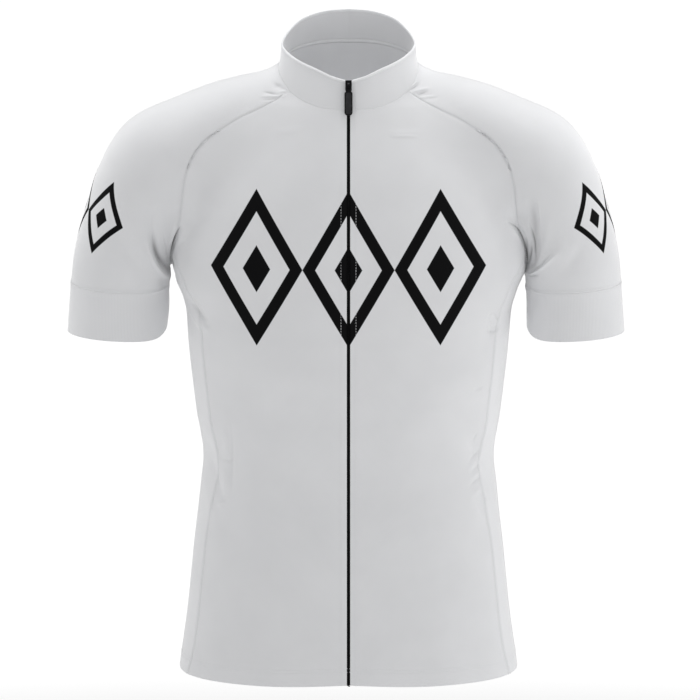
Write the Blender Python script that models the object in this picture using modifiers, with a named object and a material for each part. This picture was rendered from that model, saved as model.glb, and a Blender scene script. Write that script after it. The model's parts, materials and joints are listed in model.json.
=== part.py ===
"""A short-sleeved raglan cycling jersey with a full-length zip, as its cut panels.

The jersey stands filled out, open at neck, cuffs and hem. One smooth body-and-sleeves
surface carries every panel: the seams are drawn on that surface, each panel is a grid
between its seams, and its wall is the grid with a second layer inside it.

The origin is the middle of the neck at shoulder height. +Z is up, the front faces -Y and
+X is the wearer's left. Lengths are millimetres up to the last step, which makes metres.
"""

import math
from collections import namedtuple

import bmesh
import bpy
import numpy as np
from mathutils import Matrix

MM = 0.001
OBJECT_NAME = "cycling_jersey"

# The cloth's thickness, the gap at a sewn seam and under what is laid on a panel, and how
# wide the strip beside the zip is.
WALL = 1.2
SEAM_GAP = 0.3
LAID_GAP = 0.3
FACING_WIDTH = 9

# A distance from the middle that is outside the jersey all round.
FAR = 320

# How finely each panel is cut into cells. The sleeve's rows crowd towards the neck, and its
# cells are evened out, fully so where their column starts above the higher of two heights.
ROWS_RAGLAN = 12
ROWS_SIDE = 17
COLUMNS_FRONT = 10
COLUMNS_BACK = 18
NECK_SAMPLES = 40
CELLS_UNDERARM = 6
CELLS_SHOULDER = 6
ROWS_SLEEVE = 13
SLEEVE_CROWDING = 1.3
RELAX_ROUNDS = 4
RELAX_ABOVE_Z = -150
RELAX_FULLY_Z = -80
ROWS_CUFF = 2
ROWS_COLLAR = 3

# The trunk, read down the body: half its width, and how far it reaches forward and back.
# A squareness of 2 is an ellipse, and more than 2 is fuller at the corners.
Trunk = namedtuple("Trunk", "z half_width front back squareness")
TRUNK = [
    Trunk(70, 22, 36, 30, 2.2),
    Trunk(40, 42, 48, 48, 2.4),
    Trunk(23, 59, 53, 62.5, 2.5),
    Trunk(15, 65, 55, 68, 2.5),
    Trunk(9, 69, 56, 72, 2.4),
    Trunk(-14, 86, 62, 82, 2.2),
    Trunk(-27, 97, 71, 87, 2.2),
    Trunk(-45, 112, 78, 91, 2.3),
    Trunk(-70, 130, 88, 100, 2.4),
    Trunk(-100, 146, 98, 109, 2.5),
    Trunk(-140, 165, 108, 116, 2.5),
    Trunk(-170, 174, 113, 120, 2.5),
    Trunk(-196, 178, 116, 121, 2.5),
    Trunk(-208, 176.5, 117, 121, 2.5),
    Trunk(-224, 170.5, 118, 120, 2.5),
    Trunk(-239, 166.5, 118, 118, 2.5),
    Trunk(-286, 162, 115, 112, 2.5),
    Trunk(-348, 155, 107, 101, 2.4),
    Trunk(-388, 149.5, 102, 96, 2.4),
    Trunk(-427, 152, 100, 97, 2.4),
    Trunk(-490, 159, 101, 103, 2.4),
    Trunk(-553, 165.5, 103, 108, 2.4),
    Trunk(-611, 173.5, 105, 111, 2.4),
    Trunk(-670, 181, 107, 114, 2.4),
]

# The sleeve's centre line, from inside the neck over the shoulder and down the arm, and how
# far its section reaches from it: outward, inward to the body, forward and back.
Sleeve = namedtuple("Sleeve", "x z outward inward front back")
SLEEVE = [
    Sleeve(40, -36, 34, 36, 36, 46),
    Sleeve(75, -42, 44, 40, 46, 54),
    Sleeve(115, -54, 48, 44, 55, 61),
    Sleeve(148, -71, 53, 50, 61, 66),
    Sleeve(183, -96, 61, 56, 64, 68),
    Sleeve(202, -120, 56, 49, 63, 67),
    Sleeve(213, -145, 52.5, 46, 61, 64),
    Sleeve(222, -171, 51, 45, 58, 61),
    Sleeve(228, -196, 50, 48, 56, 58),
    Sleeve(230.5, -216, 49.3, 49, 54, 55),
    Sleeve(234, -264, 49.5, 50, 51, 52),
    Sleeve(238, -320, 49.5, 50, 50, 51),
]
SLEEVE_CAP = 30
SLEEVE_SQUARENESS = 2.1
SLEEVE_FORWARD = 3

# How softly the sleeve runs into the trunk: wide over the shoulder, tight at the armpit.
Blend = namedtuple("Blend", "z reach")
BLEND = [
    Blend(60, 18),
    Blend(0, 20),
    Blend(-60, 36),
    Blend(-120, 38),
    Blend(-150, 30),
    Blend(-175, 14),
    Blend(-195, 5),
    Blend(-208, 2.5),
    Blend(-400, 2.5),
]

# The neck seam, round from the centre front: degrees, and the place that it runs through.
Neck = namedtuple("Neck", "turn x y z")
NECK = [
    Neck(0, 0, -71, -28),
    Neck(22, 28, -69, -26),
    Neck(35, 41, -62, -22.5),
    Neck(48, 53, -52, -17),
    Neck(58, 61, -41, -11.5),
    Neck(75, 69, -18, 0),
    Neck(90, 71, 2, 8),
    Neck(115, 67, 28, 15),
    Neck(140, 49, 50, 20),
    Neck(160, 26, 59, 22),
    Neck(180, 0, 62, 23),
]
RAGLAN_FRONT_TURN = 57
RAGLAN_BACK_TURN = 138

# The collar's rim, over the same turns.
Rim = namedtuple("Rim", "turn x y z")
RIM = [
    Rim(0, 0, -64, 0),
    Rim(15, 17, -62, 6),
    Rim(30, 33, -57, 12.5),
    Rim(55, 54, -38, 22.5),
    Rim(75, 64, -18, 26.5),
    Rim(90, 66, 0, 28),
    Rim(115, 62, 27, 40),
    Rim(140, 45, 48, 49),
    Rim(160, 24, 58, 54),
    Rim(180, 0, 61.5, 56),
]

# The raglan seam from the neck to the armpit, seen from the front and from the back.
Seam = namedtuple("Seam", "x z")
RAGLAN_FRONT = [
    Seam(82, -23),
    Seam(105, -33),
    Seam(131, -48),
    Seam(145, -58),
    Seam(155, -73),
    Seam(162, -89),
    Seam(166, -108),
    Seam(168, -128),
    Seam(170.5, -148),
    Seam(173, -160),
    Seam(175.5, -171),
]
RAGLAN_BACK = [
    Seam(62, 4),
    Seam(78, -11),
    Seam(96, -23),
    Seam(114, -37),
    Seam(130, -54),
    Seam(142, -73),
    Seam(151, -93),
    Seam(158, -112),
    Seam(164, -130),
    Seam(170, -149),
    Seam(175.5, -167),
]

# The seam under the arm: its lowest place, and how squarely it bows down to it.
UNDERARM_X = 179
UNDERARM_Z = -195
UNDERARM_BOW = 1.3

# The seam between front and side panel, as a share of the trunk's half width.
SideSeam = namedtuple("SideSeam", "z share")
SIDE_SEAM = [
    SideSeam(-170, 1.0),
    SideSeam(-186, 0.968),
    SideSeam(-200, 0.945),
    SideSeam(-215, 0.930),
    SideSeam(-250, 0.907),
    SideSeam(-315, 0.900),
    SideSeam(-390, 0.902),
    SideSeam(-411, 0.888),
    SideSeam(-432, 0.906),
    SideSeam(-470, 0.922),
    SideSeam(-585, 0.929),
    SideSeam(-620, 0.950),
]

# The hem, round from the centre front, with a tail that drops at the back.
Hem = namedtuple("Hem", "turn z")
HEM = [
    Hem(0, -612),
    Hem(45, -615),
    Hem(75, -615),
    Hem(90, -614),
    Hem(120, -626),
    Hem(150, -640),
    Hem(180, -646),
]

# The cuff band's two edges: the height at the middle of the arm, and how much the outer
# side stands above the inner one.
CUFF_TOP_Z = -216.5
CUFF_EDGE_Z = -267
CUFF_TILT = 3

# Both sleeves hang this far aside at the cuff, towards the wearer's right.
SLEEVE_SWAY = -2.5

# Soft folds in the cloth: a line on the front or the back, how wide and how high or deep.
Fold = namedtuple("Fold", "face x0 z0 x1 z1 width height")
FRONT, BACK = -1, 1
FOLDS = [
    Fold(FRONT, -170, -140, -182, -184, 8, -4.5),
    Fold(FRONT, -198, -138, -194, -180, 10, -3.0),
    Fold(FRONT, -208, -170, -186, -206, 9, 3.0),
    Fold(FRONT, 184, -140, 182, -196, 8, -4.0),
    Fold(FRONT, 214, -172, 186, -202, 9, 2.5),
    Fold(FRONT, 160, -132, 178, -170, 8, -2.0),
    Fold(FRONT, -166, -232, -142, -262, 11, -3.0),
    Fold(FRONT, 164, -236, 144, -258, 9, -2.5),
    Fold(FRONT, -128, -360, -146, -420, 12, -2.5),
    Fold(FRONT, 122, -356, 142, -410, 12, -2.5),
    Fold(BACK, 172, -140, 180, -186, 9, -4.0),
    Fold(BACK, -172, -142, -181, -188, 9, -4.0),
    Fold(BACK, 60, -350, 140, -392, 16, -3.5),
    Fold(BACK, -48, -362, -138, -400, 16, -3.5),
    Fold(BACK, 30, -398, 128, -428, 14, 3.0),
    Fold(BACK, -34, -384, -126, -420, 14, 2.5),
]
FOLD_FADE = 25

# The zip: the slot between the fronts, the tapes behind them and the coil in the slot.
ZIP_SLOT = 3.4
TAPE_SHARE = 0.92
TAPE_THICKNESS = 0.8
CHAIN_WIDTH = 2.6
CHAIN_THICKNESS = 1.1
CHAIN_SINK = 0.1

# The rear pocket, on the back panel between these heights.
POCKET_TOP_Z = -425
POCKET_BOTTOM_Z = -630
POCKET_MARGIN = 2.5

# The slider, and the bridge on it that carries the tab.
SLIDER_WIDTH = 6.4
SLIDER_LENGTH = 10.5
SLIDER_PLATE = 1.4
SLIDER_LIFT = 0.4
SLIDER_ABOVE = 0.5
SLIDER_ROUND = 0.4
BRIDGE_WIDTH = 2.0
BRIDGE_INNER = 1.25
BRIDGE_WALL = 1.0
PIVOT_DROP = 5
PIVOT_HEIGHT = 1.2

# The tab that swings on the bridge: a link with a window, and a blade.
TAB_BAR = 1.0
TAB_LINK_WIDTH = 5.6
TAB_WINDOW_WIDTH = 3.2
TAB_WINDOW_LENGTH = 4.8
TAB_LINK_LENGTH = 6.8
TAB_WIDTH = 8
TAB_LENGTH = 24
TAB_THICKNESS = 1.2
TAB_LINK_ROUND = 1.2
TAB_SHOULDER_ROUND = 2
TAB_END_ROUND = 3
TAB_SWING_DEG = 3
ARC_STEPS = 5

# Colour, roughness and metallic value of each material.
FINISHES = {
    "knit": ((0.80, 0.80, 0.81), 0.75, 0.0),
    "side_knit": ((0.84, 0.84, 0.85), 0.75, 0.0),
    "cuff_knit": ((0.80, 0.80, 0.81), 0.65, 0.0),
    "zip_tape": ((0.03, 0.03, 0.033), 0.8, 0.0),
    "zip_coil": ((0.02, 0.02, 0.022), 0.45, 0.0),
    "zip_metal": ((0.015, 0.015, 0.017), 0.35, 0.0),
}
FINISH_OF = {
    "front": "knit",
    "back": "knit",
    "sleeve": "knit",
    "collar": "knit",
    "rear": "knit",
    "side": "side_knit",
    "cuff": "cuff_knit",
    "zip": "zip_tape",
}


# ---------------------------------------------------------------- tables and curves


def column(rows, name):
    """One named column of a table."""
    return np.array([getattr(row, name) for row in rows], float)


def even_slopes(keys, values):
    """A slope at each key that never lets the curve swing past its own values."""
    widths = np.diff(keys)
    rates = np.diff(values) / widths
    before, after = rates[:-1], rates[1:]
    same_way = before * after > 0
    heavy = 2 * widths[1:] + widths[:-1]
    light = widths[1:] + 2 * widths[:-1]
    safe_before = np.where(same_way, before, 1)
    safe_after = np.where(same_way, after, 1)
    middle = (heavy + light) / (heavy / safe_before + light / safe_after)
    return np.concatenate([rates[:1], np.where(same_way, middle, 0), rates[-1:]])


def smooth(keys, values, at):
    """The value at each place on a smooth curve through the given keys and values."""
    order = np.argsort(keys)
    keys, values = keys[order], values[order]
    slopes = even_slopes(keys, values)
    at = np.clip(at, keys[0], keys[-1])
    cell = np.clip(np.searchsorted(keys, at) - 1, 0, len(keys) - 2)
    width = keys[cell + 1] - keys[cell]
    t = (at - keys[cell]) / width
    return (
        values[cell] * (1 + 2 * t) * (1 - t) ** 2
        + values[cell + 1] * t**2 * (3 - 2 * t)
        + slopes[cell] * width * t * (1 - t) ** 2
        - slopes[cell + 1] * width * t**2 * (1 - t)
    )


def read(rows, key, name, at):
    """A table's named column, read at each key on a smooth curve."""
    return smooth(column(rows, key), column(rows, name), np.asarray(at, float))


def unit(vectors):
    return vectors / np.maximum(np.linalg.norm(vectors, axis=-1, keepdims=True), 1e-9)


def lengths_along(points):
    steps = np.linalg.norm(np.diff(points, axis=0), axis=1)
    return np.concatenate([[0.0], np.cumsum(steps)])


def resampled(points, cells):
    """The same line with its points evenly spaced."""
    along = lengths_along(points)
    places = np.linspace(0, along[-1], cells + 1)
    return np.stack([np.interp(places, along, points[:, i]) for i in range(3)], axis=1)


def mirrored(points):
    return points * np.array([-1.0, 1.0, 1.0])


# ---------------------------------------------------------------- the body surface

TRUNK_Z = np.linspace(TRUNK[-1].z, TRUNK[0].z, 400)
TRUNK_AT = {name: read(TRUNK, "z", name, TRUNK_Z) for name in Trunk._fields[1:]}

SLEEVE_STEP = np.linspace(0, len(SLEEVE) - 1, 120)
SLEEVE_AT = {
    name: smooth(np.arange(len(SLEEVE), dtype=float), column(SLEEVE, name), SLEEVE_STEP)
    for name in Sleeve._fields
}
SLEEVE_LINE = np.stack([SLEEVE_AT["x"], SLEEVE_AT["z"]], axis=1)
SLEEVE_ALONG = lengths_along(SLEEVE_LINE)
SLEEVE_TANGENT = unit(np.gradient(SLEEVE_LINE, SLEEVE_ALONG, axis=0))


def trunk_field(points):
    """Roughly the distance out of the trunk, and less than zero inside it."""
    x, y, z = np.abs(points[..., 0]), points[..., 1], points[..., 2]
    at = {name: np.interp(z, TRUNK_Z, values) for name, values in TRUNK_AT.items()}
    depth = np.where(y < 0, at["front"], at["back"])
    power = at["squareness"]
    ratio = ((x / at["half_width"]) ** power + (np.abs(y) / depth) ** power) ** (1 / power)
    return np.hypot(x, y) * (1 - 1 / np.maximum(ratio, 1e-6))


def sleeve_place(points):
    """How far along the sleeve's centre line a point lies, and how far outward and forward."""
    flat = np.stack([np.abs(points[..., 0]), points[..., 2]], axis=-1)
    gaps = flat[..., None, :] - SLEEVE_LINE
    nearest = np.argmin((gaps**2).sum(axis=-1), axis=-1)
    offset = flat - SLEEVE_LINE[nearest]
    along = SLEEVE_ALONG[nearest] + (offset * SLEEVE_TANGENT[nearest]).sum(axis=-1)
    centre, outward = sleeve_frame(along)
    out = ((flat - centre) * outward).sum(axis=-1)
    return along, out, -points[..., 1] - SLEEVE_FORWARD


def sleeve_frame(along):
    """The centre line's point at a length along it, and its outward direction, in X and Z."""
    centre = np.stack([np.interp(along, SLEEVE_ALONG, SLEEVE_LINE[:, i]) for i in (0, 1)], -1)
    tangent = np.stack(
        [np.interp(along, SLEEVE_ALONG, SLEEVE_TANGENT[:, i]) for i in (0, 1)], -1
    )
    tangent = unit(tangent)
    return centre, np.stack([-tangent[..., 1], tangent[..., 0]], axis=-1)


def sleeve_reach(along, out, forward):
    """The section's half sizes on the point's side of the centre line."""
    at = {name: np.interp(along, SLEEVE_ALONG, values) for name, values in SLEEVE_AT.items()}
    across = np.where(out > 0, at["outward"], at["inward"])
    deep = np.where(forward > 0, at["front"], at["back"])
    return across, deep


def sleeve_field(points):
    """Roughly the distance out of the sleeve, which closes in a round cap at each end."""
    along, out, forward = sleeve_place(points)
    across, deep = sleeve_reach(along, out, forward)
    beyond = np.maximum(-along, 0) + np.maximum(along - SLEEVE_ALONG[-1], 0)
    power = SLEEVE_SQUARENESS
    ratio = (np.abs(out) / across) ** power + (np.abs(forward) / deep) ** power
    ratio = (ratio + (beyond / SLEEVE_CAP) ** power) ** (1 / power)
    radius = np.sqrt(out**2 + forward**2 + beyond**2)
    return radius * (1 - 1 / np.maximum(ratio, 1e-6))


def body_field(points):
    """The trunk and the sleeves as one surface, at zero, softened where they meet."""
    trunk = trunk_field(points)
    sleeve = sleeve_field(points)
    reach = read(BLEND, "z", "reach", points[..., 2])
    share = np.clip(0.5 + 0.5 * (sleeve - trunk) / reach, 0, 1)
    return sleeve * (1 - share) + trunk * share - reach * share * (1 - share)


def body_slope(points, step=0.4):
    """The direction and rate in which the field grows, from its values either side."""
    slope = np.empty_like(points)
    for axis in range(3):
        shift = np.zeros(3)
        shift[axis] = step
        slope[..., axis] = (body_field(points + shift) - body_field(points - shift)) / (2 * step)
    return slope


def settled(points, rounds=10):
    """The points moved onto the body surface, each along the field's slope."""
    points = np.array(points, float)
    for _ in range(rounds):
        slope = body_slope(points)
        steep = np.maximum((slope**2).sum(axis=-1), 0.2)
        points -= (body_field(points) / steep)[..., None] * slope
    return points


def cast(start, heading, reach, samples=120, halvings=24):
    """Where straight lines from outside first meet the body surface."""
    start = np.asarray(start, float)
    heading = unit(np.broadcast_to(np.asarray(heading, float), start.shape))
    along = np.linspace(0, reach, samples)
    lines = start[:, None, :] + along[None, :, None] * heading[:, None, :]
    inside = body_field(lines) < 0
    first = np.maximum(inside.argmax(axis=1), 1)
    low, high = along[first - 1], along[first]
    for _ in range(halvings):
        middle = (low + high) / 2
        within = body_field(start + middle[:, None] * heading) < 0
        high = np.where(within, middle, high)
        low = np.where(within, low, middle)
    return start + high[:, None] * heading


def fold_height(points):
    """How far the cloth's folds lift or sink each point, by its place on front or back."""
    x, y, z = points[..., 0], points[..., 1], points[..., 2]
    height = np.zeros(x.shape)
    for fold in FOLDS:
        run = np.array([fold.x1 - fold.x0, fold.z1 - fold.z0])
        share = ((x - fold.x0) * run[0] + (z - fold.z0) * run[1]) / (run @ run)
        share = np.clip(share, 0, 1)
        gap = np.hypot(x - fold.x0 - share * run[0], z - fold.z0 - share * run[1])
        taper = 0.55 + 0.45 * np.sin(math.pi * share)
        facing = np.clip(0.5 + fold.face * y / FOLD_FADE, 0, 1)
        height += fold.height * taper * facing * np.exp(-((gap / fold.width) ** 2))
    return height


# ---------------------------------------------------------------- seams


def neck_points(turns):
    """The neck seam at these turns from the centre front, on the wearer's left."""
    targets = np.stack([read(NECK, "turn", name, turns) for name in "xyz"], axis=1)
    return settled(targets)


def neck_seam(first, last):
    """The neck seam between two turns, as closely spaced points."""
    return neck_points(np.linspace(first, last, NECK_SAMPLES))


def rim_points(turns):
    return np.stack([read(RIM, "turn", name, turns) for name in "xyz"], axis=1)


def raglan_seam(rows, face, neck_turn, cells):
    """A raglan seam from the neck to the armpit, seen from the front or the back."""
    start = [[row.x, face * 220, row.z] for row in rows]
    line = np.vstack([neck_points(np.array([neck_turn])), cast(start, [0, -face, 0], 220)])
    return settled(resampled(resampled(line, 4 * cells), cells))


def underarm_seam(front, back, cells):
    """The seam under the arm, between the feet of the front and back raglan seams."""
    share = np.linspace(0, 1, 4 * cells + 1)
    bow = (4 * share * (1 - share))[:, None] ** UNDERARM_BOW
    low = np.array([UNDERARM_X, (front[1] + back[1]) / 2, UNDERARM_Z])
    chord = front + share[:, None] * (back - front)
    middle = (front + back) / 2
    line = settled(chord + bow * (low - middle))
    line = resampled(np.vstack([front, line[1:-1], back]), cells)
    return pinned(settled(line), front, back)


def pinned(line, first, last):
    """The same line, with its two ends exactly where they are wanted."""
    line[0], line[-1] = first, last
    return line


def turn_of(point):
    """How far round the body a point lies from the centre front, in degrees."""
    return math.degrees(math.atan2(point[0], -point[1])) % 360


def hem_points(turns):
    """The hem at these turns round the body."""
    near = np.where(turns > 180, 360 - turns, turns)
    angle = np.radians(near)
    heading = np.stack([np.sin(angle), -np.cos(angle), np.zeros_like(angle)], axis=1)
    outside = FAR * heading
    outside[:, 2] = read(HEM, "turn", "z", near)
    points = cast(outside, -heading, FAR)
    points[turns > 180, 0] *= -1
    return points


def side_seam(top, face, cells):
    """The seam of the side panel with the front or back, from the armpit to the hem."""
    foot = float(HEM[1].z)
    for _ in range(4):
        end = side_seam_points(np.array([foot]), face)[0]
        foot = float(read(HEM, "turn", "z", turn_of(end)))
    z = np.linspace(top[2], foot, 6 * cells + 1)
    line = np.vstack([top, side_seam_points(z[1:], face)])
    return pinned(settled(resampled(line, cells)), top, line[-1])


def side_seam_points(z, face):
    share = read(SIDE_SEAM, "z", "share", z)
    x = share * np.interp(z, TRUNK_Z, TRUNK_AT["half_width"])
    start = np.stack([x, np.full_like(x, face * FAR), z], axis=1)
    return cast(start, [0, -face, 0], FAR)


def hem_line(first, last, cells):
    """The hem between the feet of two seams, going round by the back where that is shorter."""
    turns = np.linspace(turn_of(first), turn_of(last), 3 * cells + 1)
    line = pinned(hem_points(turns), first, last)
    return resampled(line, cells)


def with_facing(line):
    """A line from the zip's slot, its first cell as wide as the zip's facing."""
    along = lengths_along(line)
    places = np.concatenate([[0], np.linspace(FACING_WIDTH, along[-1], COLUMNS_FRONT)])
    return np.stack([np.interp(places, along, line[:, i]) for i in range(3)], axis=1)


def centre_front(z):
    """The front's edge along the zip's slot, at these heights."""
    start = np.array([[ZIP_SLOT / 2, -FAR, height] for height in z])
    return cast(start, [0, 1, 0], FAR)


def seam_lines():
    """Every seam of the wearer's left side, each as the points that its panels share."""
    front = raglan_seam(RAGLAN_FRONT, FRONT, RAGLAN_FRONT_TURN, ROWS_RAGLAN)
    back = raglan_seam(RAGLAN_BACK, BACK, RAGLAN_BACK_TURN, ROWS_RAGLAN)
    side_front = side_seam(front[-1], FRONT, ROWS_SIDE)
    side_back = side_seam(back[-1], BACK, ROWS_SIDE)
    neck_start = centre_front(np.array([NECK[0].z]))[0]
    neck_front = neck_seam(turn_of(neck_start), RAGLAN_FRONT_TURN)
    neck_front = pinned(neck_front, neck_start, front[0])
    neck_side = neck_seam(RAGLAN_FRONT_TURN, RAGLAN_BACK_TURN)
    neck_side = pinned(neck_side, front[0], back[0])
    neck_back = neck_seam(RAGLAN_BACK_TURN, 180)
    neck_back = pinned(neck_back, back[0], neck_back[-1])
    hem_start = centre_front(np.array([HEM[0].z]))[0]
    hem_middle = hem_points(np.array([180.0]))[0]
    hem_front = hem_line(hem_start, side_front[-1], 3 * COLUMNS_FRONT)
    half_back = COLUMNS_BACK // 2
    return {
        "raglan_front": front,
        "raglan_back": back,
        "underarm": underarm_seam(front[-1], back[-1], CELLS_UNDERARM),
        "side_front": side_front,
        "side_back": side_back,
        "neck_front": settled(with_facing(neck_front)),
        "neck_side": settled(resampled(neck_side, CELLS_SHOULDER)),
        "neck_back": settled(resampled(neck_back, half_back)),
        "hem_front": with_facing(hem_front),
        "hem_side": hem_line(side_front[-1], side_back[-1], CELLS_UNDERARM),
        "hem_back": hem_line(side_back[-1], hem_middle, half_back),
    }


# ---------------------------------------------------------------- panels as grids


def patch(top, bottom, first, last):
    """A grid between four edges, settled onto the body surface inside them."""
    down = np.linspace(0, 1, len(first))[:, None, None]
    across = np.linspace(0, 1, len(top))[None, :, None]
    rows = (1 - down) * top[None] + down * bottom[None]
    columns = (1 - across) * first[:, None] + across * last[:, None]
    corners = (1 - down) * ((1 - across) * top[0] + across * top[-1])
    corners = corners + down * ((1 - across) * bottom[0] + across * bottom[-1])
    grid = rows + columns - corners
    grid[1:-1, 1:-1] = settled(grid[1:-1, 1:-1])
    return grid


def sleeve_surface(along, turn):
    """The sleeve's own section, at a length along the arm and a turn from its outer side."""
    centre, outward = sleeve_frame(along)
    out, forward = np.cos(turn), np.sin(turn)
    across, deep = sleeve_reach(along, out, forward)
    power = SLEEVE_SQUARENESS
    size = ((np.abs(out) / across) ** power + (np.abs(forward) / deep) ** power) ** (-1 / power)
    flat = centre + (out * size)[..., None] * outward
    return np.stack([flat[..., 0], -forward * size - SLEEVE_FORWARD, flat[..., 1]], axis=-1)


def sleeve_ring(turn, middle_z):
    """A ring round the sleeve at this height, its outer side a little higher."""
    along = np.full_like(turn, np.interp(-middle_z, -SLEEVE_LINE[:, 1], SLEEVE_ALONG))
    wanted = middle_z + CUFF_TILT * np.cos(turn)
    for _ in range(4):
        along += sleeve_surface(along, turn)[:, 2] - wanted
    return along


def relaxed(grid):
    """A grid closed round, settled, its cells evened out where they start near the neck."""
    grid[1:] = settled(grid[1:])
    span = RELAX_FULLY_Z - RELAX_ABOVE_Z
    ease = np.clip((grid[0, :, 2] - RELAX_ABOVE_Z) / span, 0, 1)[None, :, None] / 2
    for _ in range(RELAX_ROUNDS):
        beside = np.roll(grid, 1, axis=1) + np.roll(grid, -1, axis=1)
        middle = (beside[1:-1] + grid[:-2] + grid[2:]) / 4
        grid[1:-1] += ease * (middle - grid[1:-1])
    grid[1:] = settled(grid[1:])
    return grid


def armhole_loop(lines):
    """The sleeve's upper edge, once round from under the arm by the front and the neck."""
    half = CELLS_UNDERARM // 2
    return np.vstack(
        [
            lines["underarm"][half::-1],
            lines["raglan_front"][-2::-1],
            lines["neck_side"][1:],
            lines["raglan_back"][1:],
            lines["underarm"][-2:half:-1],
        ]
    )


def sleeve_grids(lines):
    """The sleeve from its armhole to the cuff seam, and the cuff band, each closed round."""
    loop = armhole_loop(lines)
    along, out, forward = sleeve_place(loop)
    turn = np.unwrap(np.arctan2(forward, out))
    turn += 2 * math.pi * round((math.pi - turn[0]) / (2 * math.pi))
    shares = lengths_along(np.vstack([loop, loop[:1]]))
    even = math.pi * (1 - 2 * shares[:-1] / shares[-1])
    cuff_top = sleeve_ring(even, CUFF_TOP_Z)
    down = np.linspace(0, 1, ROWS_SLEEVE + 1)[:, None] ** SLEEVE_CROWDING
    turns = turn + (even - turn) * down
    grid = sleeve_surface(along + (cuff_top - along) * down, turns)
    grid += (1 - down[..., None]) ** 2 * (loop - sleeve_surface(along, turn))
    grid[0] = loop
    grid = relaxed(grid)
    cuff_edge = sleeve_ring(even, CUFF_EDGE_Z)
    down = np.linspace(0, 1, ROWS_CUFF + 1)[:, None]
    cuff = settled(sleeve_surface(cuff_top + (cuff_edge - cuff_top) * down, even + 0 * down))
    cuff[0] = grid[-1]
    return grid, cuff


def swayed(grid, share):
    """A grid with each row moved aside by its share of the sleeve's sway."""
    return grid + np.array([SLEEVE_SWAY, 0, 0]) * share[:, None, None]


def collar_grid(lines):
    """The collar as one grid from the neck seam to the rim, round from one zip edge."""
    seam = np.vstack([lines["neck_front"], lines["neck_side"][1:], lines["neck_back"][1:]])
    turns = np.array([turn_of(point) for point in seam])
    turns[-1] = 180
    rim = rim_points(turns)
    rim[:2, 0] = seam[:2, 0]
    up = np.linspace(0, 1, ROWS_COLLAR + 1)[:, None, None]
    half = (1 - up) * seam + up * rim
    return np.concatenate([half, mirrored(half[:, -2::-1])], axis=1)


# ---------------------------------------------------------------- walls

Wall = namedtuple("Wall", "outer inner closed")
Sheet = namedtuple("Sheet", "points normals closed")


def body_sheet(grid, on_neck=None, closed=False):
    """A panel's outer points, lifted by the folds, and its outward directions.

    Along the neck seam the direction leans halfway to the collar's, so that the mitred
    edges of panel and collar face each other.
    """
    normals = unit(body_slope(grid))
    if on_neck is not None:
        aside = grid[on_neck] * np.array([1.0, 1.0, 0.0])
        normals[on_neck] = unit(normals[on_neck] + unit(aside))
    return Sheet(grid + fold_height(grid)[..., None] * normals, normals, closed)


def collar_sheet(grid):
    """The collar's outer points, with its foot's directions taken from the neck seam."""
    across = np.gradient(grid, axis=1)
    up = np.gradient(grid, axis=0)
    normals = unit(np.cross(across, up))
    foot = unit(body_slope(grid[0]))
    normals[0] = unit(foot + unit(grid[0] * np.array([1.0, 1.0, 0.0])))
    return Sheet(grid, normals, False)


def inward(line, normals, inner_line, closed):
    """At each point of an edge, the way into the panel, square to the edge."""
    if closed:
        along = np.roll(line, -1, axis=0) - np.roll(line, 1, axis=0)
    else:
        along = np.gradient(line, axis=0)
    square = unit(np.cross(normals, unit(along)))
    side = np.sign((square * (inner_line - line)).sum(axis=-1, keepdims=True))
    return square * side


def sewn_wall(sheet, edges):
    """A sheet's wall, with its sewn edges drawn in by half a seam's gap."""
    grid, normals, closed = sheet
    outer = grid.copy()
    ease = SEAM_GAP / 2
    if "top" in edges:
        outer[0] += ease * inward(grid[0], normals[0], grid[1], closed)
    if "bottom" in edges:
        outer[-1] += ease * inward(grid[-1], normals[-1], grid[-2], closed)
    if "first" in edges:
        outer[:, 0] += ease * inward(grid[:, 0], normals[:, 0], grid[:, 1], False)
    if "last" in edges:
        outer[:, -1] += ease * inward(grid[:, -1], normals[:, -1], grid[:, -2], False)
    return Wall(outer, outer - WALL * normals, closed)


def pocket_wall(back):
    """The rear pocket, laid on the back panel's own points."""
    z = back.points[:, COLUMNS_BACK // 2, 2]
    rows = np.flatnonzero((z < POCKET_TOP_Z) & (z > POCKET_BOTTOM_Z))
    points, normals = back.points[rows], back.normals[rows].copy()
    points[:, 0] += POCKET_MARGIN * unit(points[:, 1] - points[:, 0])
    points[:, -1] += POCKET_MARGIN * unit(points[:, -2] - points[:, -1])
    inner = points + LAID_GAP * normals
    return Wall(inner + WALL * normals, inner, False)


def zip_line(front, collar):
    """The zip's edge of one side from rim to hem: the edge, the facing's line, directions."""
    rows = slice(None, 0, -1)
    edge = np.vstack([collar.points[rows, 0], front.points[:, 0]])
    facing = np.vstack([collar.points[rows, 1], front.points[:, 1]])
    edge_normals = np.vstack([collar.normals[rows, 0], front.normals[:, 0]])
    edge_normals = unit(edge_normals * np.array([0.0, 1.0, 1.0]))
    facing_normals = np.vstack([collar.normals[rows, 1], front.normals[:, 1]])
    return edge, facing, edge_normals, facing_normals


def tape_wall(front, collar):
    """One zip tape, laid against the inside of the front and the collar."""
    edge, facing, edge_normals, facing_normals = zip_line(front, collar)
    across = unit(facing - edge)
    middle = edge - (ZIP_SLOT - SEAM_GAP) / 2 * across
    far = edge + TAPE_SHARE * (facing - edge)
    points = np.stack([middle, edge, far], axis=1)
    normals = np.stack([edge_normals, edge_normals, facing_normals], axis=1)
    outer = points - (WALL + LAID_GAP) * normals
    return Wall(outer, outer - TAPE_THICKNESS * normals, False)


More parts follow.
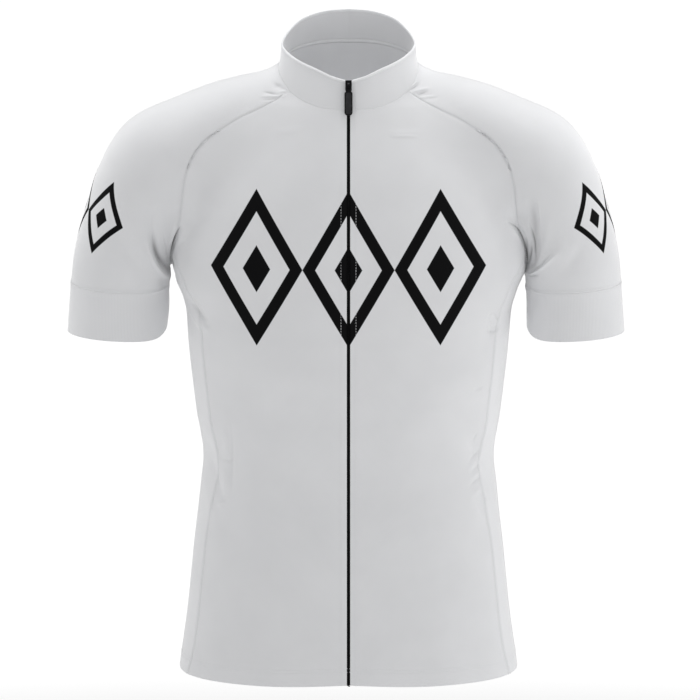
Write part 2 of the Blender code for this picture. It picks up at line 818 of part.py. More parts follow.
def chain_wall(front, collar):
    """The zip's closed coil, in the slot between the two fronts."""
    edge, _, normals, _ = zip_line(front, collar)
    left = edge.copy()
    left[:, 0] = CHAIN_WIDTH / 2
    points = np.stack([mirrored(left), left], axis=1)
    normals = np.stack([normals, normals], axis=1)
    outer = points - CHAIN_SINK * normals
    return Wall(outer, outer - CHAIN_THICKNESS * normals, False)


def jersey_walls():
    """Every cloth and zip wall by its node's name, with the collar's front line."""
    lines = seam_lines()
    front = patch(
        lines["neck_front"],
        lines["hem_front"],
        front_edge(lines),
        np.vstack([lines["raglan_front"], lines["side_front"][1:]]),
    )
    back_left = np.vstack([lines["raglan_back"], lines["side_back"][1:]])
    back_top = np.vstack([lines["neck_back"], mirrored(lines["neck_back"][-2::-1])])
    back_hem = np.vstack([lines["hem_back"], mirrored(lines["hem_back"][-2::-1])])
    back = patch(back_top, back_hem, back_left, mirrored(back_left))
    side = patch(
        lines["underarm"], lines["hem_side"], lines["side_front"], lines["side_back"]
    )
    sleeve, cuff = sleeve_grids(lines)
    collar = collar_grid(lines)

    walls = {}
    collar = collar_sheet(collar)
    walls["collar"] = sewn_wall(collar, ["top"])
    back = body_sheet(back, np.s_[0, :])
    walls["back"] = sewn_wall(back, ["top", "first", "last"])
    walls["rear_pocket"] = pocket_wall(back)
    neck_start = CELLS_UNDERARM // 2 + ROWS_RAGLAN
    neck_columns = np.s_[0, neck_start : neck_start + CELLS_SHOULDER + 1]
    for side_name, turned in (("left", np.array), ("right", mirrored)):
        front_sheet = body_sheet(turned(front), np.s_[0, :])
        walls["front_" + side_name] = sewn_wall(front_sheet, ["top", "last"])
        walls["side_" + side_name] = sewn_wall(
            body_sheet(turned(side)), ["top", "first", "last"]
        )
        sleeve_side = swayed(turned(sleeve), np.linspace(0, 1, ROWS_SLEEVE + 1) ** 2)
        cuff_side = swayed(turned(cuff), np.ones(ROWS_CUFF + 1))
        sleeve_sheet = body_sheet(sleeve_side, neck_columns, closed=True)
        walls["sleeve_" + side_name] = sewn_wall(sleeve_sheet, ["top", "bottom"])
        walls["cuff_" + side_name] = sewn_wall(body_sheet(cuff_side, closed=True), ["top"])
        near_collar = collar
        if side_name == "right":
            near_collar = Sheet(collar.points[:, ::-1], collar.normals[:, ::-1], False)
        walls["zip_tape_" + side_name] = tape_wall(front_sheet, near_collar)
        if side_name == "left":
            walls["zip_chain"] = chain_wall(front_sheet, near_collar)
    rim, foot = collar.points[-1, 0].copy(), collar.points[0, 0].copy()
    rim[0] = foot[0] = 0
    return walls, rim, foot


def front_edge(lines):
    """The front's edge along the zip, its points level with those of its outer edge."""
    outer_z = np.concatenate([lines["raglan_front"][:, 2], lines["side_front"][1:, 2]])
    top, bottom = lines["neck_front"][0], lines["hem_front"][0]
    share = (outer_z - outer_z[0]) / (outer_z[-1] - outer_z[0])
    return pinned(centre_front(top[2] + share * (bottom[2] - top[2])), top, bottom)


# ---------------------------------------------------------------- objects


def wall_faces(rows, columns, closed):
    """Triangles for a wall's outer and inner layers and its rims.

    Both layers split each cell along the same diagonal, so the wall keeps its thickness.
    """
    faces = []
    layer = rows * columns
    reach = columns if closed else columns - 1

    def at(i, j, inner):
        return inner * layer + i * columns + j % columns

    for i in range(rows - 1):
        for j in range(reach):
            a, b, c, d = at(i, j, 0), at(i, j + 1, 0), at(i + 1, j + 1, 0), at(i + 1, j, 0)
            faces += [(a, b, c), (a, c, d)]
            faces += [(c + layer, b + layer, a + layer), (d + layer, c + layer, a + layer)]
    for j in range(reach):
        for i, flip in ((0, False), (rows - 1, True)):
            rim = [at(i, j, 0), at(i, j, 1), at(i, j + 1, 1), at(i, j + 1, 0)]
            faces.append(tuple(rim[::-1] if flip else rim))
    if not closed:
        for i in range(rows - 1):
            for j, flip in ((0, True), (columns - 1, False)):
                rim = [at(i, j, 0), at(i, j, 1), at(i + 1, j, 1), at(i + 1, j, 0)]
                faces.append(tuple(rim[::-1] if flip else rim))
    return faces


def new_collection(name, parent):
    collection = bpy.data.collections.new(name)
    parent.children.link(collection)
    return collection


def new_material(name):
    colour, roughness, metallic = FINISHES[name]
    material = bpy.data.materials.new(name)
    material.use_nodes = True
    shader = material.node_tree.nodes["Principled BSDF"]
    shader.inputs["Base Color"].default_value = (*colour, 1)
    shader.inputs["Roughness"].default_value = roughness
    shader.inputs["Metallic"].default_value = metallic
    return material


def add_wall(name, wall, material, collection):
    """A wall as one closed mesh: faces are listed because neighbouring panels share their
    edges' points and directions, which no modifier keeps apart by the same gap."""
    rows, columns = wall.outer.shape[:2]
    points = np.vstack([wall.outer.reshape(-1, 3), wall.inner.reshape(-1, 3)]) * MM
    mesh = bpy.data.meshes.new(name)
    mesh.from_pydata(points.tolist(), [], wall_faces(rows, columns, wall.closed))
    work = bmesh.new()
    work.from_mesh(mesh)
    if work.calc_volume(signed=True) < 0:
        bmesh.ops.reverse_faces(work, faces=work.faces)
    work.to_mesh(mesh)
    work.free()
    mesh.shade_smooth()
    mesh.set_sharp_from_angle(angle=math.radians(60))
    mesh.materials.append(material)
    piece = bpy.data.objects.new(name, mesh)
    collection.objects.link(piece)
    return piece


def arc(centre, radius, start, end):
    """Points of an arc between two angles in degrees."""
    angles = np.radians(np.linspace(start, end, ARC_STEPS + 1))
    return [(centre[0] + radius * math.cos(a), centre[1] + radius * math.sin(a)) for a in angles]


def add_outline(name, outlines, thickness, collection):
    """A flat outline, with any windows as further outlines, made as thick as given."""
    curve = bpy.data.curves.new(name, "CURVE")
    curve.dimensions = "2D"
    curve.fill_mode = "BOTH"
    curve.extrude = thickness / 2 * MM
    for outline in outlines:
        spline = curve.splines.new("POLY")
        spline.points.add(len(outline) - 1)
        for point, (x, y) in zip(spline.points, outline):
            point.co = (x * MM, y * MM, 0, 1)
        spline.use_cyclic_u = True
    drawn = bpy.data.objects.new(name, curve)
    collection.objects.link(drawn)
    graph = bpy.context.evaluated_depsgraph_get()
    mesh = bpy.data.meshes.new_from_object(drawn.evaluated_get(graph))
    bpy.data.objects.remove(drawn)
    work = bmesh.new()
    work.from_mesh(mesh)
    bmesh.ops.remove_doubles(work, verts=work.verts, dist=1e-6)
    work.to_mesh(mesh)
    work.free()
    piece = bpy.data.objects.new(name, mesh)
    collection.objects.link(piece)
    return piece


def add_slider(material, parts, cutters, rim, foot):
    """The slider: a plate over the top of the coil, with the bridge that carries the tab."""
    up = unit(rim - foot)
    lean = math.atan2(up[2], up[1])
    outward = np.array([0.0, -up[2], up[1]])
    middle = rim - (SLIDER_LENGTH / 2 - SLIDER_ABOVE) * up
    middle = middle + (SLIDER_LIFT + SLIDER_PLATE / 2) * outward
    bpy.ops.mesh.primitive_cube_add(size=MM, location=middle * MM, rotation=(lean, 0, 0))
    plate = bpy.context.object
    plate.name = plate.data.name = "zip_slider"
    plate.data.transform(Matrix.Diagonal((SLIDER_WIDTH, SLIDER_LENGTH, SLIDER_PLATE, 1)))
    for collection in list(plate.users_collection):
        collection.objects.unlink(plate)
    parts.objects.link(plate)
    plate.data.materials.append(material)
    bevel = plate.modifiers.new("round edges", "BEVEL")
    bevel.width = SLIDER_ROUND * MM
    bevel.segments = 2

    pivot = rim - (PIVOT_DROP - SLIDER_ABOVE) * up
    pivot = pivot + (SLIDER_LIFT + SLIDER_PLATE + PIVOT_HEIGHT) * outward
    legs = PIVOT_HEIGHT + SLIDER_PLATE / 2
    outer = BRIDGE_INNER + BRIDGE_WALL
    outline = [(outer, -legs), *arc((0, 0), outer, 0, 180), (-outer, -legs)]
    outline += [(-BRIDGE_INNER, -legs), *arc((0, 0), BRIDGE_INNER, 180, 0), (BRIDGE_INNER, -legs)]
    bridge = add_outline("bridge", [outline], BRIDGE_WIDTH, cutters)
    bridge.matrix_world = Matrix(
        (
            (0, 0, 1, 0),
            (up[1], outward[1], 0, pivot[1] * MM),
            (up[2], outward[2], 0, pivot[2] * MM),
            (0, 0, 0, 1),
        )
    )
    bridge.hide_render = True
    bridge.display_type = "WIRE"
    join = plate.modifiers.new("bridge", "BOOLEAN")
    join.operation = "UNION"
    join.object = bridge
    return pivot, lean


def add_tab(material, collection, pivot, lean):
    """The pull tab: a slim link round the bridge and a wide blade, hanging from the pivot."""
    link, blade = TAB_LINK_WIDTH / 2, TAB_WIDTH / 2
    top, waist, low = TAB_BAR / 2, -TAB_LINK_LENGTH, -TAB_LINK_LENGTH - TAB_LENGTH
    nose, shoulder, end = TAB_LINK_ROUND, TAB_SHOULDER_ROUND, TAB_END_ROUND
    outline = arc((link - nose, top - nose), nose, 0, 90)
    outline += arc((nose - link, top - nose), nose, 90, 180)
    outline += [(-link, waist)]
    outline += arc((shoulder - blade, waist - shoulder), shoulder, 90, 180)
    outline += arc((end - blade, low + end), end, 180, 270)
    outline += arc((blade - end, low + end), end, 270, 360)
    outline += arc((blade - shoulder, waist - shoulder), shoulder, 0, 90)
    outline += [(link, waist)]
    side, high = TAB_WINDOW_WIDTH / 2, -TAB_BAR / 2
    window = [(-side, high), (side, high), (side, high - TAB_WINDOW_LENGTH)]
    window += [(-side, high - TAB_WINDOW_LENGTH)]
    tab = add_outline("zip_pull_tab", [outline, window], TAB_THICKNESS, collection)
    tab.location = pivot * MM
    tab.rotation_euler = (lean - math.radians(TAB_SWING_DEG), 0, 0)
    tab.data.materials.append(material)
    return tab


def cleared_scene():
    for thing in list(bpy.data.objects):
        bpy.data.objects.remove(thing)
    return bpy.context.scene.collection


def main():
    scene = cleared_scene()
    parts = new_collection(OBJECT_NAME, scene)
    cutters = new_collection("cutters", scene)
    materials = {name: new_material(name) for name in FINISHES}
    walls, rim, foot = jersey_walls()
    for name, wall in walls.items():
        add_wall(name, wall, materials[FINISH_OF.get(name.split("_")[0], name)], parts)
    pivot, lean = add_slider(materials["zip_metal"], parts, cutters, rim, foot)
    add_tab(materials["zip_metal"], parts, pivot, lean)
    print("pull tab's pivot, metres:", [round(value * MM, 5) for value in pivot])


if __name__ == "__main__":
    main()
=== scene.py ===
# %% [markdown]
# # A cycling jersey, filled out as it is worn
#
# The real jersey is cut from thin white knit: two fronts, a back, two side panels, two raglan
# sleeves with cuff bands, a stand collar and a rear pocket, joined by flat seams round a
# full-length zip. The packed solids hold each of these pieces at its real size. This lesson
# dresses them: every cloth piece becomes a thin, fine shell on its solid's form, with creases,
# seams, stitches, a knit finish and a plain printed pattern.
#
# The first line loads those solids. They stay where they are, and all that follows is made
# around them, in the same place and at the same size.

import json
import math
from collections import namedtuple

import bmesh
import bpy
import numpy as np
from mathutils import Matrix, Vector
from mathutils.kdtree import KDTree


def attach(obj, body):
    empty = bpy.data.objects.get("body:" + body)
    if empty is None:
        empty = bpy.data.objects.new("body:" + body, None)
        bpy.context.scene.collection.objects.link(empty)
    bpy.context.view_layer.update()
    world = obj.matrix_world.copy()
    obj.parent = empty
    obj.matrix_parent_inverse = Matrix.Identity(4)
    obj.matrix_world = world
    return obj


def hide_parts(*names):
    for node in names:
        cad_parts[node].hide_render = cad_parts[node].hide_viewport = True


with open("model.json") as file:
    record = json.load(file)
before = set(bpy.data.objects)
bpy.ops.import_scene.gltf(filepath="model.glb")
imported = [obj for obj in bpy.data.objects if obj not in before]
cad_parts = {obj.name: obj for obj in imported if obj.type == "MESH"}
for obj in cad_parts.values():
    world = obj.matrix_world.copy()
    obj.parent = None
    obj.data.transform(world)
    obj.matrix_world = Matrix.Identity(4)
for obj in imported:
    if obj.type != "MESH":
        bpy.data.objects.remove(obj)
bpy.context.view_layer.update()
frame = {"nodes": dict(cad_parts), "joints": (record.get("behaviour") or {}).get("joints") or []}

# %% [markdown]
# ## The camera
#
# The jersey is seen from the front and a little from above, from far away, so that it shows
# with almost no perspective. A camera could be placed by hand; here its place comes from
# four numbers, so that the height of view and the size of the frame can be changed alone.

# %% Place the camera
VIEW_AIM = Vector((0.0015, 0, -0.286))
VIEW_DISTANCE = 6
VIEW_ELEVATION = math.radians(11)
VIEW_WIDTH = 0.714
SENSOR_WIDTH = 36

camera = bpy.data.objects.new("camera", bpy.data.cameras.new("camera"))
bpy.context.scene.collection.objects.link(camera)
camera.location = VIEW_AIM + VIEW_DISTANCE * Vector(
    (0, -math.cos(VIEW_ELEVATION), math.sin(VIEW_ELEVATION))
)
camera.rotation_euler = (math.pi / 2 - VIEW_ELEVATION, 0, 0)
camera.data.sensor_width = SENSOR_WIDTH
camera.data.lens = SENSOR_WIDTH * VIEW_DISTANCE / VIEW_WIDTH
camera.data.clip_end = 100
bpy.context.scene.camera = camera
print("lens, mm:", round(camera.data.lens, 1))

# %% [markdown]
# ## The form of the worn jersey
#
# A filled-out jersey is one smooth surface: a trunk with two sleeves running into it. The
# panels could each be shaped by hand, but then their edges would not meet. Here the whole
# form is one formula, given by sections read from short tables, and the seams are drawn on
# it. The tables are in millimetres, and are the ones that the solids were made from, apart
# from the neck, the rim and the raglan seams, which are drawn a little finer here.

# %% Sizes of the trunk and the sleeves
MM = 0.001
FAR = 320
LEVEL = np.array([1.0, 1.0, 0.0])
UPRIGHT = np.array([0.0, 1.0, 1.0])


def rows_of(kind, *rows):
    """A table whose rows' values can be read by name."""
    return [kind(*row) for row in rows]


Trunk = namedtuple("Trunk", "z half_width front back squareness")
TRUNK = rows_of(
    Trunk,
    (70, 22, 36, 30, 2.2),
    (40, 42, 48, 48, 2.4),
    (23, 59, 53, 62.5, 2.5),
    (15, 65, 55, 68, 2.5),
    (9, 69, 56, 72, 2.4),
    (-14, 86, 62, 82, 2.2),
    (-27, 97, 71, 87, 2.2),
    (-45, 112, 78, 91, 2.3),
    (-70, 130, 88, 100, 2.4),
    (-100, 146, 98, 109, 2.5),
    (-140, 165, 108, 116, 2.5),
    (-170, 174, 113, 120, 2.5),
    (-196, 178, 116, 121, 2.5),
    (-208, 176.5, 117, 121, 2.5),
    (-224, 170.5, 118, 120, 2.5),
    (-239, 166.5, 118, 118, 2.5),
    (-286, 162, 115, 112, 2.5),
    (-348, 155, 107, 101, 2.4),
    (-388, 149.5, 102, 96, 2.4),
    (-427, 152, 100, 97, 2.4),
    (-490, 159, 101, 103, 2.4),
    (-553, 165.5, 103, 108, 2.4),
    (-611, 173.5, 105, 111, 2.4),
    (-670, 181, 107, 114, 2.4),
)

Sleeve = namedtuple("Sleeve", "x z outward inward front back")
SLEEVE = rows_of(
    Sleeve,
    (40, -36, 34, 36, 36, 46),
    (75, -42, 44, 40, 46, 54),
    (115, -54, 48, 44, 55, 61),
    (148, -71, 53, 50, 61, 66),
    (183, -96, 61, 56, 64, 68),
    (202, -120, 56, 49, 63, 67),
    (213, -145, 52.5, 46, 61, 64),
    (222, -171, 51, 45, 58, 61),
    (228, -196, 50, 48, 56, 58),
    (230.5, -216, 49.3, 49, 54, 55),
    (234, -264, 49.5, 50, 51, 52),
    (238, -320, 49.5, 50, 50, 51),
)
SLEEVE_CAP = 30
SLEEVE_SQUARENESS = 2.1
SLEEVE_FORWARD = 3
SLEEVE_SWAY = -2.5

Blend = namedtuple("Blend", "z reach")
BLEND = rows_of(
    Blend,
    (60, 18),
    (0, 20),
    (-60, 36),
    (-120, 38),
    (-150, 30),
    (-175, 14),
    (-195, 5),
    (-208, 2.5),
    (-400, 2.5),
)
print("trunk sections:", len(TRUNK), "sleeve sections:", len(SLEEVE))

# %% [markdown]
# The seams and edges have tables too. The neck, the rim and the hem are read by how far round
# the body a place lies, in degrees from the centre front, and the others by their height.

# %% Sizes of the seams
Round = namedtuple("Round", "turn x y z")
NECK = rows_of(
    Round,
    (0, 0, -71, -28),
    (15, 21.5, -69, -27.4),
    (30, 38, -62, -24.6),
    (45, 52, -51.5, -19),
    (60, 61, -39, -11.5),
    (75, 66.5, -22, 0),
    (90, 68.5, -2, 10),
    (105, 67, 18, 14.5),
    (120, 61.5, 36, 17.5),
    (135, 52, 47.5, 19.2),
    (150, 38, 56, 20.4),
    (165, 21, 60.5, 20.9),
    (180, 0, 62, 21),
)
RIM = rows_of(
    Round,
    (0, 0, -64, 0),
    (15, 17.5, -62, 5.3),
    (30, 33.8, -55.6, 11.9),
    (45, 47.8, -45.6, 17),
    (60, 58.5, -32.6, 22.2),
    (75, 65.3, -17.5, 26.8),
    (90, 67.6, -1.2, 30),
    (105, 65.3, 15, 34),
    (120, 58.5, 30.1, 41),
    (135, 47.8, 43.1, 48.4),
    (150, 33.8, 53.1, 52.8),
    (165, 17.5, 59.4, 55.3),
    (180, 0, 61.5, 56),
)
RAGLAN_FRONT_TURN = 54
RAGLAN_BACK_TURN = 138

Seam = namedtuple("Seam", "x z")
RAGLAN_FRONT = rows_of(
    Seam,
    (82, -26),
    (105, -36),
    (131, -51),
    (145, -60),
    (155, -73),
    (162, -89),
    (166, -108),
    (168, -128),
    (170.5, -148),
    (173, -160),
    (175.5, -171),
)
RAGLAN_BACK = rows_of(
    Seam,
    (62, 4),
    (78, -11),
    (96, -23),
    (114, -37),
    (130, -54),
    (142, -73),
    (151, -93),
    (158, -112),
    (164, -130),
    (170, -149),
    (175.5, -167),
)
UNDERARM_X = 179
UNDERARM_Z = -195
UNDERARM_BOW = 1.3

SideSeam = namedtuple("SideSeam", "z share")
SIDE_SEAM = rows_of(
    SideSeam,
    (-170, 1.0),
    (-186, 0.968),
    (-200, 0.945),
    (-215, 0.930),
    (-250, 0.907),
    (-315, 0.900),
    (-390, 0.902),
    (-411, 0.888),
    (-432, 0.906),
    (-470, 0.922),
    (-585, 0.929),
    (-620, 0.950),
)

Hem = namedtuple("Hem", "turn z")
HEM = rows_of(
    Hem,
    (0, -612),
    (45, -615),
    (75, -615),
    (90, -614),
    (120, -626),
    (150, -640),
    (180, -646),
)
CUFF_TOP_Z = -216.5
CUFF_EDGE_Z = -267
CUFF_TILT = 3
ZIP_SLOT = 3.4
FACING_WIDTH = 9
print("seam places:", len(NECK) + len(RIM) + len(RAGLAN_FRONT) + len(RAGLAN_BACK))

# %% [markdown]
# The tables give a section every few centimetres. A curve through them must not swing out
# between two sections, or the cloth would show ripples that nobody made, so each slope is
# held back where its neighbours are short.

# %% Smooth curves through the tables
TINY = 1e-9


def column(rows, name):
    return np.array([getattr(row, name) for row in rows], float)


def even_slopes(keys, values):
    """A slope at each key that never lets the curve swing past its own values."""
    widths = np.diff(keys)
    rates = np.diff(values) / widths
    before, after = rates[:-1], rates[1:]
    same_way = before * after > 0
    heavy = 2 * widths[1:] + widths[:-1]
    light = widths[1:] + 2 * widths[:-1]
    safe_before = np.where(same_way, before, 1)
    safe_after = np.where(same_way, after, 1)
    middle = (heavy + light) / (heavy / safe_before + light / safe_after)
    return np.concatenate([rates[:1], np.where(same_way, middle, 0), rates[-1:]])


def hermite(t, start, end, leaving, arriving):
    """A cubic from start to end, with these slopes at its two ends."""
    return (
        start * (1 + 2 * t) * (1 - t) ** 2
        + end * t**2 * (3 - 2 * t)
        + leaving * t * (1 - t) ** 2
        - arriving * t**2 * (1 - t)
    )


def smooth(keys, values, at):
    """The value at each place on a smooth curve through the given keys and values."""
    order = np.argsort(keys)
    keys, values = keys[order], values[order]
    slopes = even_slopes(keys, values)
    at = np.clip(at, keys[0], keys[-1])
    cell = np.clip(np.searchsorted(keys, at) - 1, 0, len(keys) - 2)
    width = keys[cell + 1] - keys[cell]
    t = (at - keys[cell]) / width
    leaving, arriving = slopes[cell] * width, slopes[cell + 1] * width
    return hermite(t, values[cell], values[cell + 1], leaving, arriving)


def read(rows, key, name, at):
    """A table's named column, read at each key on a smooth curve."""
    return smooth(column(rows, key), column(rows, name), np.asarray(at, float))


def unit(vectors):
    return vectors / np.maximum(np.linalg.norm(vectors, axis=-1, keepdims=True), TINY)


def lengths_along(points):
    steps = np.linalg.norm(np.diff(points, axis=0), axis=1)
    return np.concatenate([[0.0], np.cumsum(steps)])


def read_along(points, along, places):
    """A line's points, given their lengths along it, read at other lengths along it."""
    return np.stack([np.interp(places, along, values) for values in points.T], axis=-1)


def resampled(points, cells):
    """The same line with its points evenly spaced."""
    along = lengths_along(points)
    return read_along(points, along, np.linspace(0, along[-1], cells + 1))


def mirrored(points):
    return points * np.array([-1.0, 1.0, 1.0])


print("half width at the waist, mm:", float(read(TRUNK, "z", "half_width", -400).round(1)))

# %% [markdown]
# The form itself is a field: a number at each point in space, less than nothing inside the
# jersey and more outside, so the cloth lies where it is nought. The trunk's field and the
# sleeve's are run together softly over the shoulder and tightly at the armpit. Any point can
# then be settled onto the cloth by walking down the field's slope.

# %% The trunk's field
TRUNK_SAMPLES = 400
LEAST_RATIO = 1e-6
TRUNK_Z = np.linspace(TRUNK[-1].z, TRUNK[0].z, TRUNK_SAMPLES)
TRUNK_AT = {name: read(TRUNK, "z", name, TRUNK_Z) for name in Trunk._fields[1:]}


def trunk_field(points):
    x, y, z = np.abs(points[..., 0]), points[..., 1], points[..., 2]
    at = {name: np.interp(z, TRUNK_Z, values) for name, values in TRUNK_AT.items()}
    depth = np.where(y < 0, at["front"], at["back"])
    power = at["squareness"]
    ratio = ((x / at["half_width"]) ** power + (np.abs(y) / depth) ** power) ** (1 / power)
    return np.hypot(x, y) * (1 - 1 / np.maximum(ratio, LEAST_RATIO))


print("trunk's field far out to the side:", trunk_field(np.array([[FAR, 0, -300.0]])).round())

# %% [markdown]
# The sleeve bends, so its field first needs to know how far along its centre line a point
# lies. The nearest of a few marks on the line gives a first guess, and a few steps along the
# line's own direction make it exact.

# %% The sleeve's field
SLEEVE_SAMPLES = 120
SLEEVE_STEP = np.linspace(0, len(SLEEVE) - 1, SLEEVE_SAMPLES)
SLEEVE_AT = {
    name: smooth(np.arange(len(SLEEVE), dtype=float), column(SLEEVE, name), SLEEVE_STEP)
    for name in Sleeve._fields
}
SLEEVE_LINE = np.stack([SLEEVE_AT["x"], SLEEVE_AT["z"]], axis=1)
SLEEVE_ALONG = lengths_along(SLEEVE_LINE)
SLEEVE_TANGENT = unit(np.gradient(SLEEVE_LINE, SLEEVE_ALONG, axis=0))
SLEEVE_SEARCH = 8
SLEEVE_ROUNDS = 4


def sleeve_frame(along):
    """The centre line's point at a length along it, its direction and the outward one."""
    centre = read_along(SLEEVE_LINE, SLEEVE_ALONG, along)
    tangent = unit(read_along(SLEEVE_TANGENT, SLEEVE_ALONG, along))
    return centre, tangent, np.stack([-tangent[..., 1], tangent[..., 0]], axis=-1)


def sleeve_place(points):
    """How far along the sleeve's centre line a point lies, and how far outward and forward."""
    flat = np.stack([np.abs(points[..., 0]), points[..., 2]], axis=-1)
    gaps = flat[..., None, :] - SLEEVE_LINE[::SLEEVE_SEARCH]
    nearest = np.argmin((gaps**2).sum(axis=-1), axis=-1)
    along = SLEEVE_ALONG[::SLEEVE_SEARCH][nearest]
    for _ in range(SLEEVE_ROUNDS):
        near = np.clip(along, 0, SLEEVE_ALONG[-1])
        centre, tangent, outward = sleeve_frame(near)
        along = near + ((flat - centre) * tangent).sum(axis=-1)
    centre, tangent, outward = sleeve_frame(along)
    return along, ((flat - centre) * outward).sum(axis=-1), -points[..., 1] - SLEEVE_FORWARD


def sleeve_reach(along, out, forward):
    at = {name: np.interp(along, SLEEVE_ALONG, values) for name, values in SLEEVE_AT.items()}
    across = np.where(out > 0, at["outward"], at["inward"])
    return across, np.where(forward > 0, at["front"], at["back"])


def sleeve_field(points):
    along, out, forward = sleeve_place(points)
    across, deep = sleeve_reach(along, out, forward)
    beyond = np.maximum(-along, 0) + np.maximum(along - SLEEVE_ALONG[-1], 0)
    power = SLEEVE_SQUARENESS
    ratio = (np.abs(out) / across) ** power + (np.abs(forward) / deep) ** power
    ratio = (ratio + (beyond / SLEEVE_CAP) ** power) ** (1 / power)
    away = np.sqrt(out**2 + forward**2 + beyond**2)
    return away * (1 - 1 / np.maximum(ratio, LEAST_RATIO))


print("sleeve's centre line, mm:", round(float(SLEEVE_ALONG[-1])))

# %% [markdown]
# The two fields run together over a reach that is read from the table of blends. A point is
# settled by its field and slope alone. A line from outside is cast by first looking along it
# in even steps, and then halving the step where it goes in.

# %% The body field
SLOPE_STEP = 0.4
LEAST_STEEP = 0.2
CAST_SAMPLES = 120
CAST_HALVINGS = 24


def body_field(points):
    trunk = trunk_field(points)
    sleeve = sleeve_field(points)
    reach = read(BLEND, "z", "reach", points[..., 2])
    share = np.clip(0.5 + 0.5 * (sleeve - trunk) / reach, 0, 1)
    return sleeve * (1 - share) + trunk * share - reach * share * (1 - share)


def body_slope(points):
    slope = np.empty_like(points)
    for axis in range(3):
        shift = np.zeros(3)
        shift[axis] = SLOPE_STEP
        slope[..., axis] = body_field(points + shift) - body_field(points - shift)
    return slope / (2 * SLOPE_STEP)


def settled(points, rounds=10):
    """The points moved onto the body surface, each along the field's slope."""
    points = np.array(points, float)
    for _ in range(rounds):
        slope = body_slope(points)
        steep = np.maximum((slope**2).sum(axis=-1), LEAST_STEEP)
        points -= (body_field(points) / steep)[..., None] * slope
    return points


def cast(start, heading, reach):
    """Where straight lines from outside first meet the body surface."""
    start = np.asarray(start, float)
    heading = unit(np.broadcast_to(np.asarray(heading, float), start.shape))
    along = np.linspace(0, reach, CAST_SAMPLES)
    lines = start[:, None, :] + along[None, :, None] * heading[:, None, :]
    first = np.maximum((body_field(lines) < 0).argmax(axis=1), 1)
    low, high = along[first - 1], along[first]
    for _ in range(CAST_HALVINGS):
        middle = (low + high) / 2
        within = body_field(start + middle[:, None] * heading) < 0
        high = np.where(within, middle, high)
        low = np.where(within, low, middle)
    return start + high[:, None] * heading


print("chest, front surface, mm:", cast([[0, -FAR, -180]], [0, 1, 0], FAR)[0].round(1))

# %% [markdown]
# ## The seams
#
# A maker marks the seams first, since neighbouring panels share them. Each one is drawn from
# a few chosen places, cast onto the form from the front or the back. It is then refined: a
# smooth curve runs through its points with several steps to each, and twice as many near its
# ends, where the cloth creases and rolls into the next seam.

# %% Ways to draw a seam
FRONT, BACK = -1, 1
ROWS_RAGLAN = 12
ROWS_SIDE = 17
COLUMNS_FRONT = 10
COLUMNS_BACK = 18
CELLS_UNDERARM = 6
CELLS_SHOULDER = 6
NECK_SAMPLES = 40
RAGLAN_CAST = 220
TRIAL_ROUNDS = 4


def pinned(line, first, last):
    """The same line with its ends put exactly on these two points."""
    line[0], line[-1] = first, last
    return line


def turn_of(point):
    """How far round the body a point lies from the centre front, in degrees."""
    return math.degrees(math.atan2(point[0], -point[1])) % 360


def neck_points(turns):
    return settled(np.stack([read(NECK, "turn", name, turns) for name in "xyz"], axis=1))


def raglan_seam(rows, face, neck_turn):
    start = [[row.x, face * RAGLAN_CAST, row.z] for row in rows]
    found = cast(start, [0, -face, 0], RAGLAN_CAST)
    line = np.vstack([neck_points(np.array([neck_turn])), found])
    return settled(resampled(resampled(line, 4 * ROWS_RAGLAN), ROWS_RAGLAN))


def underarm_seam(front, back):
    share = np.linspace(0, 1, 4 * CELLS_UNDERARM + 1)
    bow = (4 * share * (1 - share))[:, None] ** UNDERARM_BOW
    low = np.array([UNDERARM_X, (front[1] + back[1]) / 2, UNDERARM_Z])
    chord = front + share[:, None] * (back - front)
    line = settled(chord + bow * (low - (front + back) / 2))
    line = resampled(np.vstack([front, line[1:-1], back]), CELLS_UNDERARM)
    return pinned(settled(line), front, back)


def hem_points(turns):
    near = np.where(turns > 180, 360 - turns, turns)
    angle = np.radians(near)
    heading = np.stack([np.sin(angle), -np.cos(angle), np.zeros_like(angle)], axis=1)
    outside = FAR * heading
    outside[:, 2] = read(HEM, "turn", "z", near)
    points = cast(outside, -heading, FAR)
    points[turns > 180, 0] *= -1
    return points


def side_seam_points(z, face):
    share = read(SIDE_SEAM, "z", "share", z)
    x = share * np.interp(z, TRUNK_Z, TRUNK_AT["half_width"])
    start = np.stack([x, np.full_like(x, face * FAR), z], axis=1)
    return cast(start, [0, -face, 0], FAR)


def side_seam(top, face):
    """The side panel's seam with the front or back, its foot found on the hem by trial."""
    foot = float(HEM[1].z)
    for _ in range(TRIAL_ROUNDS):
        end = side_seam_points(np.array([foot]), face)[0]
        foot = float(read(HEM, "turn", "z", turn_of(end)))
    z = np.linspace(top[2], foot, 6 * ROWS_SIDE + 1)
    line = np.vstack([top, side_seam_points(z[1:], face)])
    return pinned(settled(resampled(line, ROWS_SIDE)), top, line[-1])


def hem_line(first, last, cells):
    turns = np.linspace(turn_of(first), turn_of(last), 3 * cells + 1)
    return resampled(pinned(hem_points(turns), first, last), cells)


print("neck seam at the centre front, mm:", neck_points(np.array([0.0]))[0].round(1))

# %% [markdown]
# The zip's slot parts the fronts, and the first column of each is as wide as the zip's
# facing. A seam's few points then become many, read on its smooth curve at finer steps.

# %% Finer steps along a seam
FINE = 6
EDGE_SHARES = np.array([0.35, 0.7])


def with_facing(line):
    """A line from the zip's slot, its first cell as wide as the zip's facing."""
    along = lengths_along(line)
    places = np.concatenate([[0], np.linspace(FACING_WIDTH, along[-1], COLUMNS_FRONT)])
    return read_along(line, along, places)


def centre_front(z):
    start = np.array([[ZIP_SLOT / 2, -FAR, height] for height in z])
    return cast(start, [0, 1, 0], FAR)


